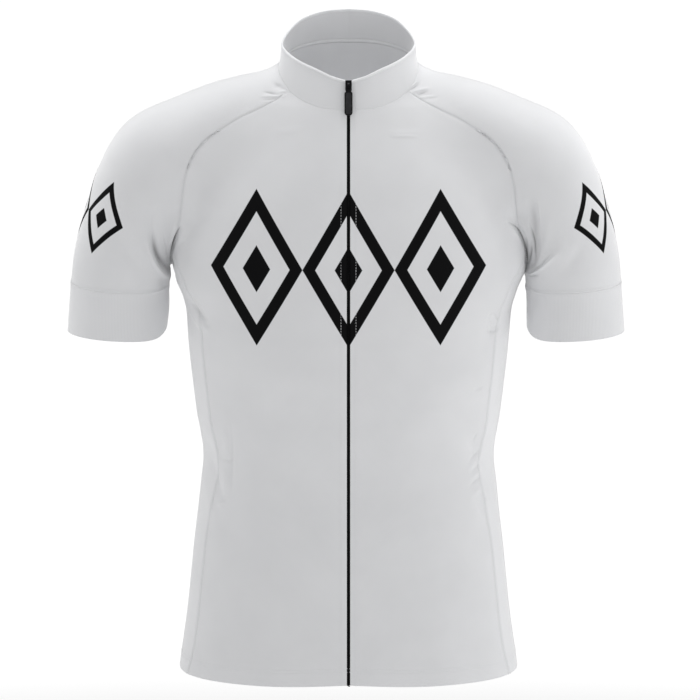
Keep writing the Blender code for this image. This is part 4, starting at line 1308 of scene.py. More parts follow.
def collar_cloth(grid):
    normals = grid_normals(grid)
    foot = unit(body_slope(grid[0]))
    normals[0] = unit(foot + unit(grid[0] * LEVEL))
    gap = gap_to_edges(grid, ["top"])
    height = NECK_SEAM_SHARE * seam_height(gap)
    # Less shade is painted along the pressed neck seam here too.
    gap = gap + (1 - NECK_SEAM_SHARE) * NECK_SEAM_HIDE
    return Cloth(grid + height[..., None] * normals, normals, False, ["top"], gap)


cloths["stand_collar"] = collar_cloth(grids["collar"])
middle = grids["collar"].shape[1] // 2
print("collar height at the back, mm:", round(float(np.ptp(grids["collar"][:, middle, 2])), 1))

# %% [markdown]
# A grid becomes a mesh of quads. Its UV map is measured in metres along and across the
# cloth, so that a knit drawn on it has the same size everywhere.

# %% From points to a mesh


def corners_of(rows, columns, closed):
    """The row and the column of each grid cell's four corners."""
    reach = columns if closed else columns - 1
    i, j = np.divmod(np.arange((rows - 1) * reach), reach)
    return np.stack([i, i, i + 1, i + 1], axis=1), np.stack([j, j + 1, j + 1, j], axis=1)


def quad_faces(rows, columns, closed):
    i, j = corners_of(rows, columns, closed)
    return (i * columns + j % columns).tolist()


def running_lengths(points, axis, closed=False):
    """How far each point lies along its row or column, from the first one."""
    if closed:
        points = np.concatenate([points, points[:, :1]], axis=1)
    steps = np.linalg.norm(np.diff(points, axis=axis), axis=-1)
    start = np.zeros_like(np.take(steps, [0], axis=axis))
    return np.concatenate([start, np.cumsum(steps, axis=axis)], axis=axis)


def add_uv(mesh, cloth):
    """A UV map in metres, across and down the cloth."""
    across = running_lengths(cloth.points, 1, cloth.closed)
    across = across - across[:, [across.shape[1] // 2]]
    down = running_lengths(cloth.points, 0)
    if cloth.closed:
        down = np.concatenate([down, down[:, :1]], axis=1)
    corners = corners_of(*cloth.points.shape[:2], cloth.closed)
    places = np.stack([across[corners], -down[corners]], axis=-1)
    layer = mesh.uv_layers.new(name="cloth")
    layer.data.foreach_set("uv", (places * MM).ravel())


def outward(mesh, points, normals):
    """True if the mesh's faces look the way the cloth's outside does."""
    middle = mesh.polygons[len(mesh.polygons) // 2]
    return middle.normal.dot(Vector(normals[middle.vertices[0]])) > 0


def add_number(mesh, name, values):
    layer = mesh.attributes.new(name, "FLOAT", "POINT")
    layer.data.foreach_set("value", np.asarray(values, np.float32).ravel())


print("faces in a grid of 3 by 4 points:", len(quad_faces(3, 4, False)))

# %% [markdown]
# A panel's layer has no thickness of its own. Its faces are turned outwards, and Solidify
# then thickens it inwards, as the solids have it.

# %% Cloth pieces
CLOTH_THICKNESS = 1.1


def new_object(name, mesh):
    piece = bpy.data.objects.new(name, mesh)
    bpy.context.scene.collection.objects.link(piece)
    return piece


def cloth_piece(name, cloth, thickness=CLOTH_THICKNESS):
    """A panel's mesh, its faces turned outwards and its thickness given by Solidify."""
    rows, columns = cloth.points.shape[:2]
    points, normals = cloth.points.reshape(-1, 3), cloth.normals.reshape(-1, 3)
    mesh = bpy.data.meshes.new(name)
    mesh.from_pydata((points * MM).tolist(), [], quad_faces(rows, columns, cloth.closed))
    add_uv(mesh, cloth)
    add_number(mesh, "seam_gap", cloth.seam_gap * MM)
    if not outward(mesh, points, normals):
        mesh.flip_normals()
    mesh.shade_smooth()
    piece = new_object(name, mesh)
    wall = piece.modifiers.new("thickness", "SOLIDIFY")
    wall.thickness = thickness * MM
    wall.offset = -1
    return piece


pieces = {name: cloth_piece(name, cloth) for name, cloth in cloths.items()}
print("cloth faces:", sum(len(piece.data.polygons) for piece in pieces.values()))

# %% [markdown]
# ## The rear pocket
#
# The pocket is one panel stitched to the back, with two rows down it that part it into three.
# Full pockets would bulge and empty ones lie flat. These are empty but soft, so each of the
# three stands a little proud of the back, most of all at its open top.

# %% The rear pocket
LAID_GAP = 0.3
POCKET_TOP_Z = -425
POCKET_BOTTOM_Z = -630
POCKET_MARGIN = 2.5
POCKETS = 3
POCKET_PUFF = 2.8
POCKET_PUFF_FOOT = 0.25
POCKET_ROUNDNESS = 0.7
POCKET_RISE = 0.6
POCKET_COLUMNS = 84
POCKET_SEWN = 0.3
POCKET_ROLL = 3.2
BESIDE_SEAM = (0, 1.2, 2.4)


def pocket_cloth(back):
    """The pocket, laid on the back, and the share across of each of its columns.

    It has columns at its partitions and beside its edges, where it is sewn down.
    """
    z = back.points[:, back.points.shape[1] // 2, 2]
    rows = np.flatnonzero((z < POCKET_TOP_Z) & (z > POCKET_BOTTOM_Z))
    across = running_lengths(back.points[rows], 1)
    wide = across[:, -1].mean()
    margin, beside = POCKET_MARGIN / wide, np.array(BESIDE_SEAM) / wide
    seams_at = np.concatenate([[margin], np.arange(1, POCKETS) / POCKETS, [1 - margin]])
    shares = [np.linspace(margin, 1 - margin, POCKET_COLUMNS)]
    shares += [place + side * beside for place in seams_at for side in (-1, 1)]
    shares = np.unique(np.clip(np.concatenate(shares), margin, 1 - margin))

    def picked(layer):
        at = across / across[:, -1:]
        return np.array([read_along(layer[row], at[i], shares) for i, row in enumerate(rows)])

    points, normals = picked(back.points), unit(picked(back.normals))
    up = z[rows][:, None] - z[rows[-1]]
    from_top = 1 - up / up.max()
    to_seam = np.abs(shares[:, None] - seams_at).min(axis=1)[None] * wide
    to_seam = np.minimum(to_seam, up)
    puff = np.abs(np.sin(math.pi * POCKETS * shares))[None] ** POCKET_ROUNDNESS * POCKET_PUFF
    rise = (1 - from_top) ** POCKET_RISE
    puff = puff * (POCKET_PUFF_FOOT + (1 - POCKET_PUFF_FOOT) * rise)
    loose = LAID_GAP + CLOTH_THICKNESS + puff
    height = POCKET_SEWN + (loose - POCKET_SEWN) * eased(to_seam / POCKET_ROLL)
    # The distance to the sewn lines is also the seam distance along which the finish paints shade.
    cloth = Cloth(points + height[..., None] * normals, normals, False, [], to_seam)
    return cloth, np.broadcast_to(shares, to_seam.shape)


pocket, pocket_share = pocket_cloth(cloths["back_panel"])
cloths["rear_pocket_panel"] = pocket
pieces["rear_pocket_panel"] = cloth_piece("rear_pocket_panel", pocket)
print("pocket:", pocket.points.shape[:2], "points")

# %% [markdown]
# ## The collar's binding and the neck tape
#
# The rim of the collar is bound with a folded strip, which shows as a bright round edge, and
# a narrow tape covers the neck seam on the inside. A binding could be a curve with a bevel,
# but a curve twists as it turns. Sweeping an oval along the rim, with the collar's own
# directions, keeps it upright all the way, and its ends are rounded off at the zip.

# %% Bind the rim and tape the neck
BINDING_HALF_THICK = 1.15
BINDING_HALF_HIGH = 1.5
BINDING_SIDES = 12
BINDING_END_STEPS = 4
BINDING_SINK = 0.6
MERGE_GAP = 1e-6
NECK_TAPE_ROWS = slice(1, 5)
NECK_TAPE_THICKNESS = 0.3
NECK_TAPE_GAP = 0.05


def with_ends(rows, count):
    """Rows with the first and the last one repeated before and after them."""
    return np.vstack([np.repeat(rows[:1], count, 0), rows, np.repeat(rows[-1:], count, 0)])


def swept(name, centres, across, up, half_across, half_up, sides):
    """An oval swept along a line, its two ends rounded off and closed."""
    bend = np.linspace(0, math.pi / 2, BINDING_END_STEPS + 1)[1:]
    size = np.concatenate([np.cos(bend)[::-1], np.ones(len(centres)), np.cos(bend)])
    first, last = unit(centres[0] - centres[1]), unit(centres[-1] - centres[-2])
    reach = half_across * np.sin(bend)[:, None]
    line = np.vstack([centres[0] + first * reach[::-1], centres, centres[-1] + last * reach])
    across, up = with_ends(across, len(bend)), with_ends(up, len(bend))
    turn = np.linspace(0, 2 * math.pi, sides, endpoint=False)[None, :, None]
    oval = half_across * np.cos(turn) * across[:, None] + half_up * np.sin(turn) * up[:, None]
    points = line[:, None] + size[:, None, None] * oval
    mesh = bpy.data.meshes.new(name)
    mesh.from_pydata((points.reshape(-1, 3) * MM).tolist(), [], quad_faces(len(line), sides, True))
    return finished_mesh(name, mesh)


def finished_mesh(name, mesh):
    """Merged points, faces outwards and smooth shading, as an object at the origin."""
    work = bmesh.new()
    work.from_mesh(mesh)
    bmesh.ops.remove_doubles(work, verts=work.verts, dist=MERGE_GAP)
    bmesh.ops.recalc_face_normals(work, faces=work.faces)
    work.to_mesh(mesh)
    work.free()
    mesh.shade_smooth()
    return new_object(name, mesh)


collar = cloths["stand_collar"]
rim = collar.points[-1]
rim_up = unit(rim - collar.points[-3])
rim_middle = rim - CLOTH_THICKNESS / 2 * collar.normals[-1]
rim_middle = rim_middle - BINDING_HALF_HIGH * BINDING_SINK * rim_up
binding = swept(
    "collar_binding",
    rim_middle,
    collar.normals[-1],
    rim_up,
    BINDING_HALF_THICK,
    BINDING_HALF_HIGH,
    BINDING_SIDES,
)

front_columns = len(seams["neck_front"])
tape_rows = collar.points[NECK_TAPE_ROWS, front_columns:-front_columns]
tape_normals = collar.normals[NECK_TAPE_ROWS, front_columns:-front_columns]
tape_rows = tape_rows - (CLOTH_THICKNESS + NECK_TAPE_GAP) * tape_normals
cloths["neck_tape"] = laid_cloth(tape_rows, tape_normals)
pieces["neck_tape"] = cloth_piece("neck_tape", cloths["neck_tape"], NECK_TAPE_THICKNESS)
print("binding, mm:", round(float(lengths_along(rim)[-1])))

# %% [markdown]
# ## The zip
#
# A coil zip is two woven tapes, sewn behind the fronts, with a row of small nylon loops on
# each that mesh in the slot. The tapes are shells like the panels. The loops repeat hundreds
# of times, so Geometry Nodes set them: a line down the slot is measured out at the coil's
# pitch, and a pair of beans, one half a pitch behind the other, goes on each mark.

# %% The zip's tapes
WALL = 1.2
TAPE_SHARE = 0.92
TAPE_THICKNESS = 0.8
TAPE_COLUMNS = 8
# The neck seam's first cell, as wide as the facing, ends at this column of its fine steps.
FACING_COLUMN = 2 * FINE + len(EDGE_SHARES)


def zip_edge(front, collar_points, collar_normals):
    """The zip's edge of one side from rim to hem, the facing's line, and directions."""
    rows = slice(None, 0, -1)
    edge = np.vstack([collar_points[rows, 0], front.points[:, 0]])
    facing = np.vstack([collar_points[rows, FACING_COLUMN], front.points[:, FACING_COLUMN]])
    normals = np.vstack([collar_normals[rows, 0], front.normals[:, 0]])
    return edge, facing, unit(normals * UPRIGHT)


def tape_cloth(side):
    """One tape, laid against the inside of the front and the collar."""
    order = slice(None) if side == "left" else slice(None, None, -1)
    front = cloths["front_panel_" + side]
    edge, facing, normals = zip_edge(front, collar.points[:, order], collar.normals[:, order])
    reach = np.linalg.norm(facing - edge, axis=1, keepdims=True)
    across = unit(facing - edge)
    first = -(ZIP_SLOT - LAID_GAP) / 2
    places = first + (TAPE_SHARE * reach - first) * np.linspace(0, 1, TAPE_COLUMNS)
    points = edge[:, None] + places[..., None] * across[:, None]
    normals = np.repeat(normals[:, None], TAPE_COLUMNS, axis=1)
    return laid_cloth(points - (WALL + LAID_GAP) * normals, normals), edge, normals[:, 0]


for side in SIDES:
    tape, zip_line, zip_normals = tape_cloth(side)
    cloths["coil_tape_" + side] = tape
    pieces["coil_tape_" + side] = cloth_piece("coil_tape_" + side, tape, TAPE_THICKNESS)
print("zip length, mm:", round(float(lengths_along(zip_line)[-1])))

# %% [markdown]
# Materials and Geometry Nodes are both trees of nodes, so one small helper builds them all.
# Its one method makes a node from its type, its settings and its sockets' values. A channel
# wraps a socket, so that sums and products can be written as plain Python.

# %% A channel for sums


class Channel:
    """A socket's number, with Python's operators adding the Math nodes."""

    def __init__(self, shop, socket):
        self.shop, self.socket = shop, socket

    def maths(self, operation, *values):
        return self.shop.add("ShaderNodeMath", {"operation": operation}, values)

    def __add__(self, other):
        return self.maths("ADD", self, other)

    def __sub__(self, other):
        return self.maths("SUBTRACT", self, other)

    def __rsub__(self, other):
        return self.maths("SUBTRACT", other, self)

    def __mul__(self, other):
        return self.maths("MULTIPLY", self, other)

    def __truediv__(self, other):
        return self.maths("DIVIDE", self, other)

    def __pow__(self, other):
        return self.maths("POWER", self, other)

    def __abs__(self):
        return self.maths("ABSOLUTE", self)

    __radd__ = __add__
    __rmul__ = __mul__

    def sine(self):
        return self.maths("SINE", self)

    def fraction(self):
        return self.maths("FRACT", self)

    def folded(self, reach):
        """Distance to the nearest even multiple of a reach, as a paper fold would give."""
        return self.maths("PINGPONG", self, reach)

    def at_most(self, other):
        return self.maths("MINIMUM", self, other)

    def at_least(self, other):
        return self.maths("MAXIMUM", self, other)

    def within(self):
        """The number held between 0 and 1."""
        return self.at_most(1.0).at_least(0.0)


print("channel:", ", ".join(name for name in vars(Channel) if name[0] != "_"))

# %% [markdown]
# The workshop holds one tree. It sets a value, or draws a link, by the kind of thing that a
# socket is given.

# %% A workshop for node trees


class Workshop:
    """Makes the nodes of one tree."""

    def __init__(self, tree):
        self.tree = tree
        tree.nodes.clear()

    def add(self, kind, settings=None, values=(), output=0):
        """A node by its type, its settings, then its sockets' values or links."""
        node = self.tree.nodes.new(kind)
        for name, value in (settings or {}).items():
            setattr(node, name, value)
        for key, value in values.items() if isinstance(values, dict) else enumerate(values):
            if isinstance(value, Channel):
                self.tree.links.new(value.socket, node.inputs[key])
            elif isinstance(value, list):
                for channel in value:
                    self.tree.links.new(channel.socket, node.inputs[key])
            else:
                node.inputs[key].default_value = value
        return Channel(self, node.outputs[output]) if len(node.outputs) else node

    def parts(self, vector):
        """The three numbers of a vector."""
        return [
            self.add("ShaderNodeSeparateXYZ", None, [vector], output=axis) for axis in range(3)
        ]

    def mix(self, share, first, second):
        """One colour run into another."""
        return self.add(
            "ShaderNodeMix", {"data_type": "RGBA"}, {0: share, 6: first, 7: second}, output=2
        )


print("workshop ready")

# %% [markdown]
# A stitch and a coil's loop are both small egg shapes, set along lines at an even pitch. One
# way would be to copy meshes in a Python loop. A Geometry Nodes tree does it in one go, with
# the pitch, sizes and seed as named inputs, and each thread a little uneven in size.

# %% Trees for small pieces
LOOP_OFFSET = 0.32


def bean(shop, half_sizes, place=(0, 0, 0)):
    """A small egg shape with half sizes along X, Y and Z."""
    ball = shop.add("GeometryNodeMeshUVSphere", None, {"Segments": 6, "Rings": 3, "Radius": 1})
    size = shop.add("ShaderNodeCombineXYZ", None, half_sizes)
    place = shop.add("ShaderNodeCombineXYZ", None, place)
    moves = {"Geometry": ball, "Translation": place, "Scale": size}
    return shop.add("GeometryNodeTransform", None, moves)


def along_lines_tree(name, make_instance, pivot):
    """A Geometry Nodes tree that sets one small shape along lines, at an even pitch."""
    tree = bpy.data.node_groups.new(name, "GeometryNodeTree")
    sockets = {
        "Lines": "Geometry",
        "Pitch": "Float",
        "Length": "Float",
        "Radius": "Float",
        "Unevenness": "Float",
        "Seed": "Int",
        "Material": "Material",
    }
    for label, kind in sockets.items():
        tree.interface.new_socket(name=label, in_out="INPUT", socket_type="NodeSocket" + kind)
    tree.interface.new_socket(name="Pieces", in_out="OUTPUT", socket_type="NodeSocketGeometry")
    shop = Workshop(tree)
    group = shop.add("NodeGroupInput")
    given = {label: Channel(shop, group.socket.node.outputs[label]) for label in sockets}
    curve = shop.add("GeometryNodeMeshToCurve", None, {"Mesh": given["Lines"]})
    marks = {"Curve": curve, "Length": given["Pitch"]}
    points = shop.add("GeometryNodeCurveToPoints", {"mode": "LENGTH"}, marks)
    tangent = Channel(shop, points.socket.node.outputs["Tangent"])
    turning = {"axis": "Z", "pivot_axis": pivot}
    turn = shop.add("FunctionNodeAlignRotationToVector", turning, {"Vector": tangent})
    size = shop.add(
        "FunctionNodeRandomValue",
        {"data_type": "FLOAT"},
        {2: 1 - given["Unevenness"], 3: 1 + given["Unevenness"], "Seed": given["Seed"]},
        output=1,
    )
    placed = shop.add(
        "GeometryNodeInstanceOnPoints",
        None,
        {
            "Points": points,
            "Instance": make_instance(shop, given),
            "Rotation": turn,
            "Scale": size,
        },
    )
    real = shop.add("GeometryNodeRealizeInstances", None, {"Geometry": placed})
    smooth_shape = shop.add("GeometryNodeSetShadeSmooth", None, {"Geometry": real})
    finish = {"Geometry": smooth_shape, "Material": given["Material"]}
    done = shop.add("GeometryNodeSetMaterial", None, finish)
    shop.add("NodeGroupOutput", None, {"Pieces": done})
    return tree


def stitch(shop, given):
    """One stitch of thread, lying along its row."""
    return bean(shop, [given["Radius"], given["Radius"], given["Length"] / 2])


def coil_pair(shop, given):
    """The loops of both sides of a coil, the second half a pitch further on."""
    half_wide, deep = given["Length"] / 2, given["Radius"]
    left = bean(shop, [half_wide, deep, deep], [given["Length"] * -LOOP_OFFSET, 0.0, 0.0])
    ahead = given["Pitch"] / 2
    right = bean(shop, [half_wide, deep, deep], [given["Length"] * LOOP_OFFSET, 0.0, ahead])
    return shop.add("GeometryNodeJoinGeometry", None, {"Geometry": [left, right]})


STITCH_TREE = along_lines_tree("stitch rows", stitch, "AUTO")
COIL_TREE = along_lines_tree("coil loops", coil_pair, "X")
print("trees:", STITCH_TREE.name, "and", COIL_TREE.name)

# %% [markdown]
# A modifier runs the tree on a mesh of bare edges, its sizes set by each input's identifier.
# The result is made a plain mesh, and the modifier comes off again.

# %% Set small pieces along lines


def set_along(name, tree, lines, **sizes):
    """The small pieces that a tree sets along lines, as one plain mesh object."""
    edges, start = [], 0
    for line in lines:
        edges += [(start + i, start + i + 1) for i in range(len(line) - 1)]
        start += len(line)
    mesh = bpy.data.meshes.new(name)
    mesh.from_pydata((np.vstack(lines) * MM).tolist(), edges, [])
    carrier = new_object(name, mesh)
    modifier = carrier.modifiers.new("along lines", "NODES")
    modifier.node_group = tree
    for item in tree.interface.items_tree:
        if item.in_out == "INPUT" and item.name in sizes:
            modifier[item.identifier] = sizes[item.name]
    graph = bpy.context.evaluated_depsgraph_get()
    made = bpy.data.meshes.new_from_object(carrier.evaluated_get(graph))
    carrier.modifiers.remove(modifier)
    carrier.data = made
    return carrier


print("inputs:", ", ".join(item.name for item in STITCH_TREE.interface.items_tree))

# %% [markdown]
# ## Finishes
#
# A light jersey knit shows fine upright ribs, the wales, each a chain of small V loops. They
# could be modelled one by one, but there are millions. They are drawn as height in the
# finish instead, from the UV map in metres, and a Bump node turns the height into shading.
# Broad, faint clouds of tone and height keep so large a white surface from looking ironed.

# %% Knit
WALE = 0.0011
COURSE = 0.0008
RIB_ROUNDNESS = 0.6
RIB_BASE = 0.55
LOOP_LEAN = 0.6
LOOP_HEIGHT = 0.00006
CLOUD_HEIGHT = 0.0004
CLOUD_SCALE = 22
# The knit is painted greyer, as shade, within this distance of a seam.
SEAM_SHADE_WIDTH = 0.002
# How much greyer the knit's dips are painted, as shade. The clouds below vary the tone at random.
LOOP_DIP_SHADE = 0.55
CLOUD_TONE = 0.6
SEAM_PAINTED_SHADE = 0.5
# The colour painted into the pleats as shade.
PLEAT_SHADE = (0.02, 0.02, 0.022)


def new_finish(name):
    finish = bpy.data.materials.new(name)
    finish.use_nodes = True
    return finish, Workshop(finish.node_tree)


def knit_height(shop, wale, course):
    """The height of a knit's loops, from 0 to 1."""
    across, up, _ = shop.parts(shop.add("ShaderNodeUVMap", {"uv_map": "cloth"}, output="UV"))
    rib = (across / wale).fraction()
    from_middle = abs(rib - 0.5) * 2
    loop = (up / course + from_middle * LOOP_LEAN).fraction()
    arch = RIB_BASE + (1 - RIB_BASE) * (loop * math.pi).sine()
    return (rib * math.pi).sine() ** RIB_ROUNDNESS * arch


def surface(shop, shader_values, height, distance, ink=None):
    """A Principled surface with this height as its bump, and dull black where it is inked."""
    bump = shop.add("ShaderNodeBump", None, {"Distance": distance, "Height": height})
    shader = shop.add("ShaderNodeBsdfPrincipled", None, {**shader_values, "Normal": bump})
    if ink is not None:
        inked = shop.add("ShaderNodeBsdfPrincipled", None, {**INK_VALUES, "Normal": bump})
        shader = shop.add("ShaderNodeMixShader", None, [ink, shader, inked])
    shop.add("ShaderNodeOutputMaterial", None, {"Surface": shader})


def clouds(shop, scale, detail=2.0):
    place = shop.add("ShaderNodeTexCoord", output="Object")
    return shop.add(
        "ShaderNodeTexNoise", None, {"Vector": place, "Scale": scale, "Detail": detail}
    )


def knit_finish(name, colour, shade, roughness=0.78, wale=WALE, course=COURSE, ink=None):
    """A knit of this colour with painted shade, greyer in its dips and along its seams and dark in
    its pleats, then inked.
    """
    finish, shop = new_finish(name)
    loops = knit_height(shop, wale, course)
    cloud = clouds(shop, CLOUD_SCALE)
    # Painted shade along the seams, from each point's distance to the nearest one.
    gap = shop.add("ShaderNodeAttribute", {"attribute_name": "seam_gap"}, output="Fac")
    seam = (1 - gap / SEAM_SHADE_WIDTH).within()
    # The knit's dips and seams are painted towards the grey shade colour; its clouds vary the tone
    # at random.
    lightness = (LOOP_DIP_SHADE * loops + CLOUD_TONE * cloud - SEAM_PAINTED_SHADE * seam).within()
    tone = shop.mix(lightness, (*shade, 1), (*colour, 1))
    # Painted shade in the pleats: the knit runs towards the pleat colour by how deep in one a
    # point lies.
    fold = shop.add("ShaderNodeAttribute", {"attribute_name": "pleat_depth"}, output="Fac")
    tone = shop.mix(fold, tone, (*PLEAT_SHADE, 1))
    values = {
        "Base Color": tone,
        "Roughness": roughness - 0.05 * loops + 0.06 * cloud,
        "Sheen Weight": 0.8,
        "Sheen Roughness": 0.45,
        "Specular IOR Level": 0.1,
    }
    height = loops * (LOOP_HEIGHT / CLOUD_HEIGHT) + cloud
    surface(shop, values, height, CLOUD_HEIGHT, ink(shop) if ink else None)
    return finish


print("wales to the centimetre:", round(0.01 / WALE))

# %% [markdown]
# The chest and sleeves carry a plain printed chain of lozenges, each a thick black outline
# round a small solid one. A print sinks into the cloth, so it is colour and not relief, and
# it stays in the finish. A lozenge is simple as arithmetic: the share of its half width plus
# the share of its half height is 1 all along its edge. Folding the distance across, as paper
# folds, repeats it along the chain. The ink is duller than the knit, so it is a shader of its
# own, mixed in where the chain's number is 1.

# %% The printed lozenges
INK_VALUES = {
    "Base Color": (0.0035, 0.0035, 0.004, 1),
    "Roughness": 0.75,
    "Specular IOR Level": 0.08,
}
Print = namedtuple("Print", "half_width half_height middle_z stroke core lozenges")
CHEST_PRINT = Print(46, 78, -183, 11, 0.3, 3)
SLEEVE_PRINT = Print(23, 34, -153, 5, 0.3, 3)
INK_EDGE = 0.5


def chain_ink(across, up, design):
    """1 where the chain of lozenges is inked and 0 elsewhere, from places in millimetres."""
    slope = math.hypot(1 / design.half_width, 1 / design.half_height)
    stroke, edge = design.stroke * slope, INK_EDGE * slope
    ends = design.half_width * design.lozenges
    reach = across.folded(design.half_width) / design.half_width + abs(up) / design.half_height
    outline = (0.5 + (stroke / 2 - abs(reach - (1 - stroke / 2))) / edge).within()
    core = (0.5 + (design.core - reach) / edge).within()
    inside = (0.5 + (ends - abs(across)) / INK_EDGE).within()
    return outline.at_least(core) * inside


def chest_ink(shop):
    x, _, z = shop.parts(shop.add("ShaderNodeTexCoord", output="Object"))
    return chain_ink(x / MM, z / MM - CHEST_PRINT.middle_z, CHEST_PRINT)


def sleeve_ink(shop):
    place = shop.add("ShaderNodeAttribute", {"attribute_name": "print_place"}, output="Vector")
    across, up, _ = shop.parts(place)
    return chain_ink(across / MM, up / MM, SLEEVE_PRINT)


# GREY is the colour that the knit's painted shade runs to in its dips and seams, and the low end
# of its clouds.
WHITE, GREY = (0.82, 0.825, 0.84), (0.70, 0.705, 0.72)
finishes = {
    "plain": knit_finish("plain_knit", WHITE, GREY),
    "chest": knit_finish("chest_knit", WHITE, GREY, ink=chest_ink),
    "sleeve": knit_finish("sleeve_knit", WHITE, GREY, ink=sleeve_ink),
    "side": knit_finish("side_knit", (0.85, 0.855, 0.87), (0.74, 0.745, 0.76), wale=0.0013),
    "cuff": knit_finish("cuff_knit", WHITE, GREY, roughness=0.7, wale=0.0015, course=0.0006),
}
print("finishes:", ", ".join(finishes))

# %% [markdown]
# The binding and the neck tape are smooth strips, the zip's tapes are a tight dark weave,
# the coil is black nylon, and the slider and its tab are metal under black paint that has
# rubbed a little. The tab's face is a softer dark grey plate set in its border.

# %% Trim and zip finishes
WEAVE = 0.0006
WEAVE_HEIGHT = 0.00004
STRIP_CLOUD_SCALE = 60
GRAIN_SCALE = 1800
GRAIN_HEIGHT = 0.00003
WORN_SCALE = 260
WORN_CONTRAST = 3
WORN_LEVEL = 1.45


def strip_finish(name, colour, shade, roughness, weave=WEAVE):
    """A smooth plain weave, over and under in a small check, painted greyer in its dips as shade.
    """
    finish, shop = new_finish(name)
    x, y, z = shop.parts(shop.add("ShaderNodeTexCoord", output="Object"))
    check = (x / weave * math.pi).sine() * (z / weave * math.pi).sine()
    height = 0.5 + 0.5 * check * (y / weave * math.pi).sine()
    cloud = clouds(shop, STRIP_CLOUD_SCALE)
    # The weave's dips are painted towards the shade colour; the clouds vary the tone at random.
    tone = shop.mix((0.5 * height + CLOUD_TONE * cloud).within(), (*shade, 1), (*colour, 1))
    values = {
        "Base Color": tone,
        "Roughness": roughness + 0.08 * cloud,
        "Sheen Weight": 0.1,
        "Specular IOR Level": 0.12,
    }
    surface(shop, values, height, WEAVE_HEIGHT)
    return finish


def hard_finish(name, colour, worn, roughness, metallic=0.0, coat=0.0, gloss=0.25):
    """Moulded or painted trim with fine grain, and a worn tone in patches."""
    finish, shop = new_finish(name)
    grain = clouds(shop, GRAIN_SCALE, 3.0)
    patches = (clouds(shop, WORN_SCALE) * WORN_CONTRAST - WORN_LEVEL).within()
    values = {
        "Base Color": shop.mix(patches, (*colour, 1), (*worn, 1)),
        "Roughness": roughness + 0.12 * grain + 0.1 * patches,
        "Metallic": metallic,
        "Coat Weight": coat,
        "Specular IOR Level": gloss,
    }
    surface(shop, values, grain, GRAIN_HEIGHT)
    return finish


finishes["binding"] = strip_finish("binding_cloth", (0.88, 0.885, 0.9), (0.82, 0.825, 0.84), 0.6)
finishes["thread"] = strip_finish("thread", (0.84, 0.845, 0.86), (0.76, 0.765, 0.78), 0.5, 0.0004)
finishes["zip_tape"] = strip_finish("zip_weave", (0.008, 0.008, 0.009), (0.003, 0.003, 0.004), 0.8)
finishes["coil"] = hard_finish(
    "coil_nylon", (0.003, 0.003, 0.0035), (0.008, 0.008, 0.009), roughness=0.5, gloss=0.08
)
finishes["metal"] = hard_finish(
    "painted_metal",
    (0.004, 0.004, 0.005),
    (0.012, 0.012, 0.014),
    roughness=0.35,
    metallic=0.3,
    coat=0.08,
    gloss=0.15,
)
finishes["tab_face"] = hard_finish(
    "tab_plate", (0.016, 0.016, 0.018), (0.026, 0.027, 0.029), roughness=0.5
)
print("finishes:", ", ".join(finishes))

# %% [markdown]
# ## Sewing
#
# The seams are flat ones: after joining two panels, a second row of thread is run each side
# of the join. The hem has a twin row a finger's width up, the fronts and collar are stitched
# along the zip, and the pocket is stitched round three sides and down its two partitions.
# Each row is found on its own panel, at a distance in from an edge, so that it follows every
# fold. The same Geometry Nodes tree then sets all the stitches.

# %% Find the rows
SEAM_ROW = 2.3
HEM_ROWS = (14, 17.5)
ZIP_ROW = 5.8
RIM_ROW = 5
POCKET_ROW = 1.6
POCKET_HEM_ROWS = (12, 14.5)
PARTITION_GAP = 1.5
THREAD_LIFT = 0.05


def row_inside(cloth, edge, distance, lift=THREAD_LIFT):
    """A row of thread on a cloth, this far in from one of its edges."""
    points = cloth.points + lift * cloth.normals
    if edge in ("top", "bottom"):
        points = points.swapaxes(0, 1)
    if edge in ("bottom", "last"):
        points = points[:, ::-1]
    row = [read_along(line, lengths_along(line), distance) for line in points]
    if cloth.closed and edge in ("top", "bottom"):
        row.append(row[0])
    return np.array(row)


def partition_rows(cloth, share):
    """The paired rows down the pocket that part it."""
    points = cloth.points + THREAD_LIFT * cloth.normals
    wide = lengths_along(cloth.points[0])[-1]
    rows = []
    for place in np.arange(1, POCKETS) / POCKETS:
        for aside in (-PARTITION_GAP / wide, PARTITION_GAP / wide):
            at = place + aside
            row = [read_along(line, share[i], at) for i, line in enumerate(points)]
            rows.append(np.array(row))
    return rows


rows = {
    name: [row_inside(cloth, edge, SEAM_ROW) for edge in cloth.sewn]
    for name, cloth in cloths.items()
    if cloth.sewn
}
for name in rows:
    if name.startswith(("front", "back", "side")):
        rows[name] += [row_inside(cloths[name], "bottom", height) for height in HEM_ROWS]
    if name.startswith("front"):
        rows[name].append(row_inside(cloths[name], "first", ZIP_ROW))
rows["stand_collar"] += [row_inside(collar, edge, ZIP_ROW) for edge in ("first", "last")]
for lift in (THREAD_LIFT, -CLOTH_THICKNESS - THREAD_LIFT):
    rows["stand_collar"].append(row_inside(collar, "bottom", RIM_ROW, lift))
pocket_edges = [("first", POCKET_ROW), ("last", POCKET_ROW), ("bottom", POCKET_ROW)]
pocket_edges += [("top", height) for height in POCKET_HEM_ROWS]
rows["rear_pocket_panel"] = [row_inside(pocket, *place) for place in pocket_edges]
rows["rear_pocket_panel"] += partition_rows(pocket, pocket_share)
thread = sum(lengths_along(row)[-1] for found in rows.values() for row in found)
print(f"rows: {sum(len(found) for found in rows.values())}, {thread / 1000:.1f} m of thread")

# %% [markdown]
# A thread of polyester is about 0.4 mm thick, and a stitch a little over 2 mm long, with a gap
# before the next. The coil's loops lie across the slot, wider than its half, so that those of
# the two sides mesh.

